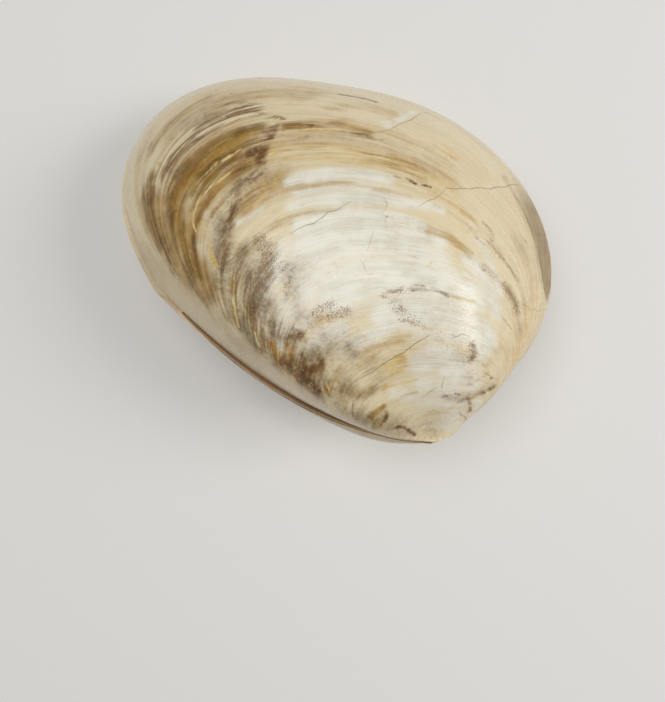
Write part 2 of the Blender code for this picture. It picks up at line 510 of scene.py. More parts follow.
def groove_grid(s, slip):
    """Points of the groove: an arc of the circle from the flat seam face out to the edge."""
    edge, outward = hinge_edge(s)
    middle, radius, opened = (values[:, None] for values in groove_circle(s, slip))
    first = np.arcsin(HALF_SEAM / radius)
    inside = np.clip((-GROOVE_INSIDE - middle) / radius, -1.0, 1.0)
    start = np.maximum(first, np.arccos(inside))
    angle = start + (math.pi - first - start) * np.linspace(1.0, 0.0, GROOVE_COLUMNS)
    out = (middle + radius * np.cos(angle)) * opened
    rise = (radius * np.sin(angle) - HALF_SEAM) * opened
    flat = edge[:, None, :] + outward[:, None, :] * out[..., None]
    return np.concatenate([flat, (rise + HALF_SEAM)[..., None]], axis=-1)


print("groove of the upper valve:", groove_grid(np.linspace(0.0, 1.0, 40), 0.0).shape)

# %% [markdown]
# ## A valve
#
# The skin of a valve is a grid over (s, t), drawn together towards its ends, where it bends
# most.  The columns of the groove come before it and start on the flat seam face.  The open
# ring that is left lies in the seam plane, and a fill of triangles closes it.

# %% Grid of one valve
# how strongly rows and columns are drawn together at their ends
ROWS_DRAWN = 0.30
COLUMNS_DRAWN = 0.70
# height in mm and growth from which on the relief is cut to its full depth
FULL_RELIEF_HEIGHT = 2.0
FULL_RELIEF_GROWTH = 0.08


def drawn_steps(count, share):
    """Steps 0..1: 1 - share of even ones, and share of ones drawn together as a cosine."""
    even = np.linspace(0.0, 1.0, count)
    return (1.0 - share) * even + share * 0.5 * (1.0 - np.cos(math.pi * even))


def valve_grid(rows, columns, slip):
    """Points, s and t of one valve's groove and skin, heights measured up from the seam plane.

    The relief is cut along the skin's own normals and fades to nothing at rim and beak.
    """
    s = drawn_steps(rows, ROWS_DRAWN)
    grow, way = np.meshgrid(s, drawn_steps(columns, COLUMNS_DRAWN), indexing="ij")
    x, y, height = growth_surface(grow, way)
    height = lifted(height, s, slip)
    skin = np.stack([x, y, height + HALF_SEAM], axis=-1)
    depth = relief(grow, way) * ramp(height, FULL_RELIEF_HEIGHT) * ramp(grow, FULL_RELIEF_GROWTH)
    skin = skin - unit_normals(skin) * depth[..., None]
    points = np.concatenate([groove_grid(s, slip), skin], axis=1)
    before = ((0, 0), (GROOVE_COLUMNS, 0))
    return points, np.pad(grow, before, mode="edge"), np.pad(way, before)


def grid_faces(rows, columns, closed=False):
    """Four-sided faces of a grid as point numbers; a closed one joins its last column and first."""
    row = np.arange(rows - 1)[:, None] * columns
    here = np.arange(columns if closed else columns - 1)[None, :]
    after = (here + 1) % columns
    corners = (row + here, row + after, row + columns + after, row + columns + here)
    return np.stack([corner.ravel() for corner in corners], axis=1)


print("trial grid:", valve_grid(40, 50, 0.0)[0].shape)

# %% [markdown]
# ## From arrays to a closed mesh
#
# One helper takes the whole arrays, writes them into a mesh in one go, stores what the finish
# needs to know at each point, merges the beak to one point and fills the seam face.

# %% Mesh helpers
# metres between points that are one, and the shortest edge that is kept
MERGE_WITHIN = 2e-7
SHORTEST_EDGE = 1e-8
# an edge that turns by more than this stays sharp
CREASE = math.radians(38)


def in_scene(name, data):
    """A new object for the data, linked to the scene."""
    obj = bpy.data.objects.new(name, data)
    bpy.context.scene.collection.objects.link(obj)
    return obj


def closed_mesh(name, points, faces, notes, fill):
    """A closed object from point and face arrays (points in mm) with float notes at each point."""
    mesh = bpy.data.meshes.new(name)
    mesh.from_pydata((points * MM).tolist(), [], faces.tolist())
    for label, values in notes.items():
        layer = mesh.attributes.new(label, "FLOAT", "POINT")
        layer.data.foreach_set("value", np.ascontiguousarray(values, dtype=np.float32))
    bm = bmesh.new()
    bm.from_mesh(mesh)
    bmesh.ops.remove_doubles(bm, verts=bm.verts[:], dist=MERGE_WITHIN)
    bmesh.ops.dissolve_degenerate(bm, edges=bm.edges[:], dist=SHORTEST_EDGE)
    if fill:
        rim = [edge for edge in bm.edges if edge.is_boundary]
        bmesh.ops.triangle_fill(bm, edges=rim, use_beauty=True)
    bmesh.ops.recalc_face_normals(bm, faces=bm.faces[:])
    open_edges = sum(1 for edge in bm.edges if not edge.is_manifold)
    bm.to_mesh(mesh)
    bm.free()
    mesh.polygons.foreach_set("use_smooth", np.ones(len(mesh.polygons), dtype=bool))
    mesh.set_sharp_from_angle(angle=CREASE)
    print(name, len(mesh.polygons), "faces,", open_edges, "open edges")
    return in_scene(name, mesh)


print("points are merged within", MERGE_WITHIN / MM, "mm")

# %% [markdown]
# ## Stains, streaks and cracks
#
# Iron in the ground stained the stone along its growth lines, and old cracks cross them.
# Each mark is a short path.  For a soft stain every mesh point keeps how close it is to the
# path.  A crack is far thinner than a mesh face, so its points keep the signed distance
# instead: the line where that distance passes through zero stays sharp.

# %% Cracks: strength and path
CRACKS = (
    (0.9, ((427, 112), (420, 114), (412, 119), (402, 123), (390, 129), (382, 132), (372, 133))),
    (1.0, ((428, 113), (434, 116), (441, 120))),
    (1.2, ((519, 184), (505, 187), (490, 189), (470, 189), (455, 189), (446, 188))),
    (0.8, ((444, 190), (440, 195), (432, 199), (425, 202), (419, 206))),
    (0.8, ((350, 202), (338, 209), (328, 213), (322, 217), (314, 222), (302, 227), (290, 233))),
    (1.0, ((256, 239), (248, 245), (240, 252), (232, 259), (225, 264), (217, 270))),
    (0.6, ((383, 197), (387, 203), (386, 210))),
    (0.5, ((383, 213), (385, 220), (386, 228))),
    (0.5, ((374, 230), (371, 239), (368, 248))),
    (0.5, ((361, 261), (364, 267), (367, 272))),
    (1.3, ((357, 381), (372, 372), (389, 361), (405, 352), (418, 342), (428, 336))),
    (0.8, ((451, 338), (457, 337), (463, 334), (468, 336))),
    (0.7, ((444, 378), (442, 384), (442, 391))),
    (0.7, ((440, 386), (432, 390), (424, 397))),
    (0.7, ((519, 306), (525, 305), (531, 310), (538, 312), (545, 310))),
    (0.6, ((521, 234), (526, 243), (531, 252))),
    (0.6, ((500, 315), (507, 324), (514, 333))),
)
print("cracks:", len(CRACKS))

# %% Distance of every point from a path
# mm between the points of a path, and points of a first try that measures its length
PATH_STEP = 0.35
ROUGH_STEPS = 400


def path_points(path, step=PATH_STEP):
    """Points in mm along a path of (t, s) pairs, about one step apart, with their share 0..1."""
    rough = np.array(path)
    share = np.linspace(0.0, 1.0, ROUGH_STEPS)
    at = np.linspace(0.0, 1.0, len(rough))
    line = smooth_skin(np.interp(share, at, rough[:, 1]), np.interp(share, at, rough[:, 0]))
    run = np.concatenate([[0.0], np.cumsum(np.linalg.norm(np.diff(line, axis=0), axis=1))])
    count = max(int(run[-1] / step), 2)
    even = np.linspace(0.0, run[-1], count)
    return np.stack([np.interp(even, run, line[:, k]) for k in range(3)], axis=-1), even / run[-1]


def nearest_on(points, line):
    """For every point, the number of the nearest point of the line, and its distance."""
    best = np.full(len(points), np.inf)
    found = np.zeros(len(points), dtype=int)
    for number, place in enumerate(line):
        far = ((points - place) ** 2).sum(axis=1)
        closer = far < best
        best[closer] = far[closer]
        found[closer] = number
    return found, np.sqrt(best)


print("points on the first crack:", len(path_points(on_shell(CRACKS[0][1]))[0]))

# %% Feathers beside a stroke
# strength and width of the wash under a feathered stroke, as shares of the stroke's own
WASH = (0.85, 1.35)
# a feather leaves out at most this much of the stroke at either end
FEATHER_LOSS = 0.7
FEATHER_POINTS = 5
# spread of the feathers round the shell and, for a width of one, in mm along the growth
SPREAD_ROUND = 0.004
SPREAD_ALONG = 0.55
# mm from the beak to the margin, where one number has to do for every way round
BEAK_TO_MARGIN = 55.0
# width and strength of a feather as shares of the stroke's own, and the least width in mm
FEATHER_WIDTHS = (0.3, 0.8)
FEATHER_STRENGTHS = (0.7, 1.0)
LEAST_WIDTH = 0.30


def feathered(strokes, count):
    """Each stroke as a soft wash and a bundle of thinner, shorter ones beside it."""
    if count == 0:
        return strokes
    bundle = []
    for strength, width, path in strokes:
        bundle.append((strength * WASH[0], width * WASH[1], path))
        rough = np.array(path)
        share = np.linspace(0.0, 1.0, len(rough))
        for _ in range(count):
            begin, end = np.sort(rng.uniform(0.0, 1.0, 2))
            begin, end = begin * FEATHER_LOSS, 1.0 - (1.0 - end) * FEATHER_LOSS
            at = np.linspace(begin, end, FEATHER_POINTS)
            t = np.interp(at, share, rough[:, 0]) + rng.normal(0.0, SPREAD_ROUND)
            aside = rng.normal(0.0, SPREAD_ALONG * width / BEAK_TO_MARGIN)
            s = np.interp(at, share, rough[:, 1]) + aside
            thin = max(width * rng.uniform(*FEATHER_WIDTHS), LEAST_WIDTH)
            bundle.append((strength * rng.uniform(*FEATHER_STRENGTHS), thin, tuple(zip(t, s))))
    return bundle


print("narrowest feather:", LEAST_WIDTH, "mm to either side")

# %% Soft stains
# a stroke thinner than this in mm is cut at its ends to END_STRENGTH + from_end/END_SHARE
THIN_STROKE = 0.75
END_STRENGTH = 0.45
END_SHARE = 0.20
# a stain is looked for within so many widths, with a unit of growth taken as so many mm
STAIN_WIDTHS = 2.6
SHORT_GROWTH = 45.0


def stain(points, grow, strokes):
    """Soft amount 0..1 at every point: for each stroke strength*exp(-(distance/width)**2).

    Both ends of a thin stroke are weaker, so that it runs out instead of stopping.
    """
    total = np.zeros(len(points))
    for strength, width, path in strokes:
        reach = STAIN_WIDTHS * width / SHORT_GROWTH
        sizes = [place[1] for place in path]
        inside = np.flatnonzero((grow > min(sizes) - reach) & (grow < max(sizes) + reach))
        line, share = path_points(path, step=max(PATH_STEP, 0.5 * width))
        found, far = nearest_on(points[inside], line)
        amount = strength * bell(far, width)
        if width < THIN_STROKE:
            from_end = np.minimum(share[found], 1.0 - share[found])
            amount *= np.clip(END_STRENGTH + from_end / END_SHARE, 0.0, 1.0)
        total[inside] = np.maximum(total[inside], amount)
    return total


print("a stain half its width away is", round(float(bell(0.5, 1.0)), 2), "as strong")

# %% Cracks as signed distances
# mm to the side where no crack is near, and mm by which a crack's points stray
FAR_AWAY = 9.0
CRACK_JITTER = 0.05
# distance in mm where a crack is gone and over how much it goes, beside it and past its ends
CRACK_REACH = (1.3, 0.5)
CRACK_END = (0.6, 0.3)
# a crack's strength: CRACK_MIDDLE less CRACK_LOSS times the share from its middle, cut to 0..1
CRACK_MIDDLE = 1.15
CRACK_LOSS = 1.1


def crack_lines(points, normals, cracks):
    """Signed distance from the nearest crack, in mm, and how strong the crack is there.

    The sign is the side: the offset along the cross product of the normal and the crack.
    """
    signed = np.full(len(points), FAR_AWAY)
    strong = np.zeros(len(points))
    nearest = np.full(len(points), np.inf)
    for strength, path in cracks:
        line, share = path_points(path)
        jitter = rng.normal(0.0, CRACK_JITTER, line.shape)
        line = line + jitter * np.sin(math.pi * share)[:, None]
        along = np.gradient(line, axis=0)
        along = along / np.linalg.norm(along, axis=1, keepdims=True)
        found, far = nearest_on(points, line)
        side = np.cross(normals, along[found])
        offset = ((points - line[found]) * side).sum(axis=1)
        beyond = np.sqrt(np.maximum(far ** 2 - offset ** 2, 0.0))
        taper = np.clip(CRACK_MIDDLE - np.abs(share[found] - 0.5) * CRACK_LOSS, 0.0, 1.0)
        near = ramp(CRACK_REACH[0] - far, CRACK_REACH[1]) * ramp(CRACK_END[0] - beyond, CRACK_END[1])
        closer = far < nearest
        nearest[closer] = far[closer]
        signed[closer] = offset[closer]
        strong[closer] = (strength * taper * near)[closer]
    return signed, strong


print("a crack's points stray by about", CRACK_JITTER, "mm")

# %% [markdown]
# ## Where each stain lies
#
# The rows below name strength, half width in millimetres, and the path as places in the
# picture, across and down.

# %% Broad washes: warm tan
WARM = (
    (0.9, 4.2, ((156, 205), (163, 232), (176, 262), (198, 294))),
    (0.9, 3.4, ((174, 228), (186, 255), (206, 290))),
    (0.9, 4.2, ((168, 202), (180, 180), (204, 158), (240, 138))),
    (0.8, 3.4, ((194, 234), (200, 206), (222, 180), (254, 158))),
    (0.8, 3.0, ((244, 206), (258, 193), (280, 180))),
    (0.5, 3.4, ((262, 145), (300, 138), (345, 140), (390, 152))),
    (0.6, 3.4, ((395, 155), (425, 165), (452, 182))),
    (0.4, 3.4, ((142, 150), (139, 185), (142, 215), (150, 240))),
    (0.5, 2.4, ((236, 250), (240, 262), (238, 285))),
    (0.4, 5.0, ((520, 250), (532, 285), (528, 320), (512, 352))),
    (0.5, 1.6, ((505, 178), (525, 215), (536, 250), (541, 280))),
    (0.8, 1.4, ((286, 127), (312, 123), (340, 124), (368, 132))),
    (0.6, 2.2, ((150, 150), (160, 135), (180, 115), (205, 100))),
    (0.6, 1.4, ((312, 323), (330, 316), (347, 311))),
    (0.5, 1.1, ((402, 322), (420, 326), (438, 332))),
    (0.5, 1.3, ((471, 344), (475, 352), (472, 360))),
    (0.5, 1.2, ((505, 286), (514, 300), (517, 312))),
    (0.7, 1.1, ((462, 400), (476, 396), (494, 387))),
    (0.8, 2.0, ((174, 224), (177, 202), (190, 184), (212, 168))),
    (0.8, 3.0, ((264, 345), (284, 368), (312, 398))),
    (0.5, 2.4, ((452, 398), (474, 396), (492, 386))),
    (0.4, 2.8, ((385, 370), (405, 360), (425, 352))),
    (0.4, 2.0, ((372, 420), (382, 412), (392, 404))),
    (0.5, 4.0, ((170, 135), (205, 108), (250, 96), (310, 92))),
)
print("warm strokes:", len(WARM))

# %% Broad washes: dusky grey
DUSK = (
    (0.7, 3.0, ((262, 250), (260, 278), (264, 305), (276, 335))),
    (0.8, 3.0, ((290, 335), (304, 355), (325, 385))),
    (0.7, 3.2, ((244, 255), (246, 285), (254, 318))),
    (0.8, 2.6, ((222, 222), (222, 250), (226, 285), (238, 318))),
    (0.6, 3.4, ((330, 395), (350, 412), (376, 426))),
    (0.6, 3.0, ((320, 345), (338, 368), (352, 395))),
    (0.6, 2.6, ((290, 270), (292, 292), (300, 315))),
    (0.5, 2.4, ((232, 205), (245, 188), (262, 170))),
    (0.6, 3.0, ((392, 428), (412, 430), (430, 436))),
    (0.5, 3.0, ((345, 335), (365, 350), (375, 375))),
    (0.5, 3.0, ((190, 285), (215, 318), (240, 345))),
    (0.8, 3.2, ((236, 312), (252, 338), (272, 362))),
    (0.6, 3.0, ((322, 335), (340, 345), (352, 360))),
    (0.2, 2.4, ((130, 165), (127, 200), (132, 235))),
    (0.4, 2.5, ((455, 350), (468, 362), (470, 380))),
    (0.7, 1.0, ((416, 428), (422, 425), (430, 424))),
    (0.9, 3.0, ((316, 354), (332, 350), (348, 352))),
    (0.8, 2.6, ((258, 262), (260, 275), (264, 300))),
    (0.9, 2.6, ((292, 362), (300, 378), (316, 396))),
    (0.5, 3.0, ((385, 420), (398, 424), (410, 428))),
)
print("dusk strokes:", len(DUSK))

# %% Pale bone zones
BONE_ZONES = (
    (1.0, 1.5, ((288, 182), (302, 178), (330, 174), (360, 174), (388, 179))),
    (1.0, 1.5, ((290, 205), (302, 202), (330, 199), (370, 198), (410, 202), (440, 209))),
    (1.0, 2.2, ((300, 225), (330, 218), (370, 217), (410, 225), (440, 240))),
    (1.0, 5.0, ((315, 250), (350, 240), (390, 240), (430, 262))),
    (1.0, 5.0, ((340, 290), (380, 275), (430, 280), (470, 300))),
    (1.0, 4.0, ((390, 315), (430, 310), (470, 325), (485, 345))),
    (0.8, 3.0, ((300, 250), (295, 262), (292, 270))),
    (0.8, 2.5, ((310, 345), (325, 335), (340, 330))),
    (0.9, 3.5, ((425, 360), (440, 350), (455, 370), (470, 375))),
    (0.6, 3.0, ((428, 384), (448, 394), (460, 404))),
    (0.5, 2.5, ((412, 400), (432, 410), (452, 414))),
    (0.7, 3.0, ((470, 260), (485, 280), (495, 310))),
    (0.8, 0.6, ((378, 122), (388, 122), (398, 119))),
    (0.6, 1.2, ((385, 128), (402, 118), (415, 112))),
    (0.7, 1.0, ((474, 401), (480, 403), (476, 408))),
    (0.4, 1.0, ((300, 140), (330, 140), (360, 145), (385, 152))),
    (0.6, 1.0, ((240, 222), (250, 216), (262, 208))),
    (0.5, 1.2, ((206, 215), (214, 222), (218, 235))),
    (0.7, 2.0, ((300, 190), (330, 184), (370, 187), (410, 198))),
    (0.7, 4.0, ((262, 305), (268, 278), (285, 252))),
    (0.8, 4.5, ((285, 330), (300, 302), (315, 278))),
    (0.7, 2.6, ((345, 350), (362, 341), (385, 330))),
    (0.7, 8.0, ((330, 260), (400, 285), (450, 330))),
    (0.7, 3.5, ((425, 385), (450, 390), (470, 385))),
    (0.7, 2.6, ((430, 402), (446, 404), (452, 418))),
    (0.6, 2.0, ((440, 425), (450, 428), (456, 424))),
    (0.6, 2.4, ((395, 392), (410, 398), (425, 404))),
    (0.6, 2.0, ((470, 225), (485, 250), (500, 290))),
)
print("bone zones strokes:", len(BONE_ZONES))

# %% Tan bands
TAN_BANDS = (
    (0.8, 0.65, ((283, 190), (300, 188), (330, 184), (350, 184), (385, 190), (410, 196))),
    (0.8, 0.45, ((255, 241), (265, 231), (280, 222), (300, 215), (320, 211), (350, 209))),
    (0.6, 0.4, ((350, 209), (375, 208), (400, 212))),
    (0.9, 1.2, ((430, 232), (445, 236), (460, 245), (470, 254))),
    (0.5, 0.8, ((395, 222), (415, 225), (432, 232))),
    (0.8, 0.9, ((360, 357), (370, 349), (385, 344), (402, 342))),
    (0.6, 2.5, ((365, 375), (380, 372), (400, 350), (420, 350))),
    (0.7, 1.3, ((243, 217), (255, 203), (268, 190), (278, 180))),
    (0.6, 1.2, ((250, 228), (262, 218), (278, 209))),
    (0.7, 1.0, ((262, 232), (275, 226), (290, 222))),
    (0.6, 2.5, ((200, 100), (230, 90), (260, 88), (290, 92))),
    (0.7, 2.0, ((215, 112), (240, 98), (270, 95), (300, 98))),
    (0.6, 2.0, ((330, 110), (360, 105), (390, 110), (400, 135))),
    (0.6, 2.0, ((345, 125), (380, 130), (420, 145), (450, 165))),
    (0.6, 1.5, ((420, 420), (432, 415), (446, 412))),
    (0.6, 2.0, ((470, 375), (488, 365), (500, 350))),
    (0.7, 0.5, ((247, 263), (250, 250), (257, 240), (262, 235))),
    (0.5, 1.2, ((300, 270), (320, 262), (340, 265))),
    (0.6, 1.5, ((340, 375), (335, 390), (345, 400))),
    (0.4, 0.35, ((330, 247), (355, 247), (380, 247), (400, 247))),
    (0.5, 0.35, ((385, 255), (405, 255), (425, 262))),
)
print("tan bands strokes:", len(TAN_BANDS))

# %% Ochre threads and bands
OCHRE = (
    (0.9, 0.35, ((262, 150), (290, 146), (320, 146), (347, 149), (380, 155))),
    (0.8, 0.3, ((300, 152), (330, 151), (360, 154), (390, 160))),
    (0.9, 0.35, ((272, 161), (300, 158), (330, 158), (360, 162), (390, 168))),
    (0.8, 0.8, ((385, 160), (410, 166), (430, 175), (452, 190))),
    (0.6, 3.0, ((262, 156), (300, 150), (350, 151), (400, 163), (448, 190))),
    (0.6, 2.2, ((440, 200), (458, 212), (476, 228))),
    (1.0, 0.9, ((386, 368), (395, 363), (402, 357))),
    (1.0, 0.45, ((388, 376), (398, 370), (408, 366))),
    (0.9, 0.7, ((384, 390), (388, 387), (393, 385))),
    (0.8, 0.35, ((398, 386), (408, 383), (419, 379))),
    (0.8, 0.8, ((458, 208), (466, 214), (476, 222))),
    (0.8, 0.5, ((468, 228), (473, 232), (480, 240))),
    (0.7, 0.35, ((448, 296), (465, 299), (478, 303))),
    (0.7, 0.35, ((360, 275), (368, 273), (376, 272))),
    (0.7, 0.3, ((425, 268), (432, 262), (440, 262))),
    (0.7, 0.7, ((430, 412), (445, 409), (455, 406))),
    (0.8, 0.6, ((167, 128), (178, 119), (192, 110))),
    (0.7, 0.6, ((225, 125), (245, 120), (265, 119), (280, 122))),
    (0.8, 0.6, ((212, 98), (222, 95), (232, 94))),
    (0.5, 0.4, ((268, 98), (276, 97))),
    (0.6, 0.4, ((425, 200), (440, 190), (446, 188))),
    (0.6, 1.5, ((142, 205), (144, 222), (152, 240))),
)
print("ochre strokes:", len(OCHRE))

# %% Pale gold edges, partly painted glints
# bright thin lines on growth edges: partly iron stain, partly painted glints off their relief
PALE_GOLD_AND_GLINT = (
    (1.0, 0.24, ((198, 236), (192, 226), (193, 214), (200, 199), (212, 186), (224, 176), (236, 167))),
    (0.9, 0.22, ((202, 178), (208, 172), (218, 164), (230, 157), (242, 148))),
    (1.0, 0.25, ((217, 266), (214, 258), (209, 246))),
    (0.9, 0.2, ((235, 271), (234, 283), (234, 296), (236, 312), (240, 330))),
    (0.8, 0.2, ((229, 283), (228, 297), (231, 310))),
    (0.7, 0.18, ((241, 290), (242, 305), (243, 318))),
    (0.9, 0.22, ((255, 331), (257, 341), (261, 350))),
    (0.8, 0.3, ((268, 157), (273, 152), (278, 150))),
    (0.8, 0.25, ((300, 130), (330, 129), (345, 131))),
    (0.7, 0.2, ((325, 380), (329, 390), (332, 399))),
    (0.7, 0.2, ((322, 384), (325, 394), (327, 400))),
    (0.6, 0.3, ((169, 193), (172, 186), (175, 180))),
    (0.7, 0.25, ((287, 305), (291, 298), (297, 292))),
    (0.5, 0.25, ((268, 163), (285, 160), (310, 158))),
)
print("pale gold strokes:", len(PALE_GOLD_AND_GLINT))

# %% Gold stains
GOLD = (
    (1.0, 1.1, ((198, 222), (203, 207), (211, 196), (221, 187))),
    (1.0, 1.1, ((176, 222), (178, 198), (188, 182), (202, 167))),
    (1.0, 1.0, ((202, 165), (218, 153), (234, 144), (243, 139))),
    (0.8, 0.8, ((236, 146), (246, 138), (258, 131))),
    (0.9, 0.4, ((228, 177), (240, 168), (250, 161))),
    (1.0, 0.4, ((262, 169), (272, 165), (284, 163))),
    (0.8, 0.35, ((268, 158), (276, 155), (284, 153))),
    (0.8, 0.6, ((159, 163), (162, 170), (163, 177))),
    (0.6, 1.1, ((436, 147), (446, 153), (455, 160))),
    (0.6, 0.7, ((298, 125), (310, 124), (322, 126))),
    (0.9, 1.0, ((184, 235), (190, 248), (194, 262))),
    (1.0, 0.35, ((233, 274), (231, 284), (231, 294))),
    (1.0, 1.1, ((272, 344), (275, 352), (279, 362))),
    (1.0, 0.95, ((288, 346), (289, 352), (290, 360))),
    (0.8, 0.9, ((308, 372), (316, 372), (322, 366))),
    (0.8, 0.8, ((300, 338), (306, 334))),
    (1.0, 0.45, ((326, 382), (328, 390), (331, 398))),
    (0.8, 0.3, ((268, 330), (268, 340), (271, 352))),
    (0.7, 0.3, ((284, 330), (286, 342), (287, 350))),
    (0.8, 0.6, ((372, 418), (378, 411), (384, 405))),
    (0.7, 0.5, ((484, 223), (490, 230), (497, 237))),
    (0.7, 0.35, ((288, 300), (292, 297), (296, 294))),
    (0.8, 0.35, ((285, 137), (305, 135), (330, 134))),
    (0.6, 0.6, ((148, 205), (152, 215), (160, 225))),
)
print("gold strokes:", len(GOLD))

# %% Olive stains
OLIVE = (
    (1.0, 2.4, ((184, 232), (188, 250), (196, 268))),
    (0.8, 1.2, ((166, 215), (168, 240), (176, 262))),
    (0.9, 2.2, ((146, 200), (150, 220), (158, 240))),
    (0.8, 1.8, ((150, 178), (145, 195), (147, 212))),
    (0.7, 1.5, ((172, 190), (176, 175), (186, 165))),
    (1.0, 2.2, ((212, 160), (230, 145), (256, 130))),
    (1.0, 2.1, ((176, 224), (179, 200), (193, 178), (214, 162))),
    (0.6, 1.5, ((187, 225), (190, 210), (198, 192))),
    (0.7, 1.0, ((217, 300), (224, 315), (235, 328))),
    (0.7, 1.0, ((222, 290), (228, 310), (238, 326))),
    (0.7, 0.9, ((384, 418), (379, 424), (376, 428))),
    (0.7, 0.8, ((371, 417), (376, 412), (383, 407))),
    (0.6, 0.6, ((398, 401), (405, 396), (415, 392))),
    (0.6, 0.7, ((462, 400), (472, 397), (484, 393))),
    (0.6, 0.4, ((498, 201), (501, 204))),
    (0.6, 0.5, ((496, 213), (499, 217))),
    (0.5, 1.5, ((250, 300), (255, 320), (262, 340))),
    (0.6, 1.5, ((345, 390), (362, 395), (372, 390))),
)
print("olive strokes:", len(OLIVE))

# %% Peach stains
PEACH = (
    (1.0, 2.4, ((531, 312), (528, 330), (521, 347), (512, 360))),
    (0.8, 1.8, ((534, 285), (537, 300), (534, 318))),
    (0.6, 2.0, ((524, 262), (529, 280), (530, 300))),
    (0.5, 2.0, ((505, 345), (510, 335), (515, 325))),
    (1.0, 0.9, ((440, 151), (447, 153), (457, 157))),
    (0.6, 2.0, ((430, 140), (450, 150), (470, 165), (485, 178))),
    (0.6, 1.2, ((436, 167), (446, 171), (456, 177))),
    (0.8, 0.8, ((283, 103), (290, 103), (297, 106))),
    (0.9, 0.6, ((322, 122), (338, 119), (352, 121))),
    (0.6, 0.6, ((352, 121), (370, 126), (390, 133))),
    (0.9, 0.6, ((255, 205), (262, 197), (268, 192))),
    (0.6, 0.5, ((463, 397), (468, 401), (470, 412))),
    (0.6, 1.2, ((460, 112), (440, 105), (420, 98))),
    (0.5, 1.2, ((150, 128), (158, 130), (162, 137))),
)
print("peach strokes:", len(PEACH))

# %% Brown stains
BROWN = (
    (0.8, 0.6, ((166, 170), (175, 158), (185, 148), (200, 138), (222, 125))),
    (0.6, 0.6, ((168, 160), (176, 150), (190, 138), (205, 128), (218, 121))),
    (0.7, 0.35, ((180, 134), (195, 121), (215, 112), (235, 106))),
    (0.9, 0.7, ((228, 116), (240, 112), (252, 111), (262, 113))),
    (1.0, 0.4, ((263, 119), (275, 117), (287, 119))),
    (1.0, 0.55, ((307, 124), (315, 126))),
    (0.9, 0.9, ((152, 188), (153, 195), (150, 202))),
    (0.8, 0.33, ((163, 222), (164, 240), (167, 258), (172, 272), (178, 282))),
    (0.5, 1.2, ((190, 248), (193, 262))),
    (0.8, 0.45, ((176, 277), (182, 287), (187, 296))),
    (0.7, 0.35, ((205, 302), (209, 312), (212, 320))),
    (0.7, 0.22, ((282, 139), (300, 137), (330, 135))),
    (0.9, 0.28, ((350, 132), (362, 135), (374, 138), (386, 141))),
    (0.7, 0.35, ((300, 91), (330, 93), (345, 96))),
    (0.9, 0.55, ((335, 94), (350, 96), (366, 99), (380, 103))),
    (1.0, 0.9, ((249, 153), (257, 151), (263, 149), (258, 159))),
    (0.9, 0.7, ((266, 133), (275, 131), (270, 137))),
    (0.9, 0.5, ((238, 198), (234, 209), (230, 221))),
    (0.8, 0.4, ((256, 171), (248, 178), (242, 183))),
    (0.8, 0.28, ((230, 175), (243, 168), (252, 163))),
    (0.7, 0.45, ((253, 267), (251, 278), (249, 288))),
    (0.7, 0.35, ((253, 300), (254, 313), (256, 326))),
    (0.7, 0.35, ((258, 305), (260, 320), (263, 335))),
    (0.8, 0.35, ((263, 328), (265, 338), (268, 349))),
    (1.0, 0.35, ((259, 343), (261, 350), (263, 357))),
    (0.9, 0.35, ((279, 358), (281, 363), (283, 368))),
    (0.8, 0.25, ((277, 336), (280, 325), (283, 315))),
    (1.0, 0.9, ((293, 338), (298, 334), (304, 339))),
    (1.0, 0.9, ((307, 369), (313, 371), (318, 368), (322, 362))),
    (1.0, 0.9, ((306, 380), (312, 384), (318, 391))),
    (0.9, 0.9, ((289, 366), (295, 374), (301, 383))),
    (0.8, 1.8, ((298, 366), (306, 380), (316, 393))),
    (0.8, 0.35, ((301, 349), (302, 357), (304, 366))),
    (0.7, 0.5, ((292, 363), (297, 370), (305, 375))),
    (0.7, 0.22, ((353, 399), (353, 409), (353, 419))),
    (0.8, 0.5, ((386, 409), (387, 416), (384, 424))),
    (1.0, 0.45, ((391, 430), (397, 427), (404, 427.5), (410, 431), (418, 436))),
    (0.9, 0.25, ((405, 288), (420, 289), (430, 290))),
    (0.8, 0.36, ((378, 296), (392, 292), (405, 289))),
    (0.8, 0.4, ((428, 289), (440, 292), (450, 297))),
    (0.6, 0.45, ((405, 323), (420, 326), (435, 331))),
    (0.5, 0.35, ((435, 331), (445, 333), (458, 337))),
    (0.8, 0.6, ((473, 346), (475, 352), (472, 358))),
    (1.0, 0.2, ((405, 178), (412, 181), (418, 183))),
    (0.8, 0.2, ((390, 174), (398, 177), (404, 178))),
    (1.0, 0.2, ((420, 184), (428, 187), (434, 187))),
    (0.9, 0.18, ((384, 216), (390, 216))),
    (0.6, 0.18, ((395, 222), (410, 224))),
    (0.6, 0.2, ((380, 289), (398, 285), (405, 285))),
    (0.9, 0.22, ((453, 393), (458, 394), (461, 396.5))),
    (0.7, 0.4, ((442, 396), (450, 397))),
    (0.7, 0.4, ((455, 402), (461, 402))),
    (0.8, 0.45, ((466, 396), (470, 403), (469, 413))),
    (0.9, 0.6, ((484, 392), (490, 389), (494, 387))),
    (0.8, 0.35, ((489, 378), (494, 379))),
    (0.8, 0.2, ((431, 409), (435, 411))),
    (0.6, 0.2, ((427, 405), (432, 404))),
    (0.7, 0.2, ((458, 411), (461, 416), (465, 423))),
    (0.8, 0.28, ((484, 223), (489, 228), (493, 233))),
    (0.7, 0.22, ((472, 236), (480, 241), (487, 246))),
    (0.6, 0.35, ((497, 250), (505, 260), (512, 270), (518, 281))),
    (0.6, 0.5, ((507, 288), (513, 297), (517, 307))),
    (0.7, 0.18, ((501, 316), (508, 324), (514, 333))),
    (0.7, 0.16, ((522, 235), (527, 244), (531, 252))),
    (0.9, 0.15, ((476, 305), (478, 305))),
    (0.6, 0.18, ((312, 257), (317, 255))),
    (0.7, 0.5, ((228, 92), (235, 94))),
)
print("brown strokes:", len(BROWN))

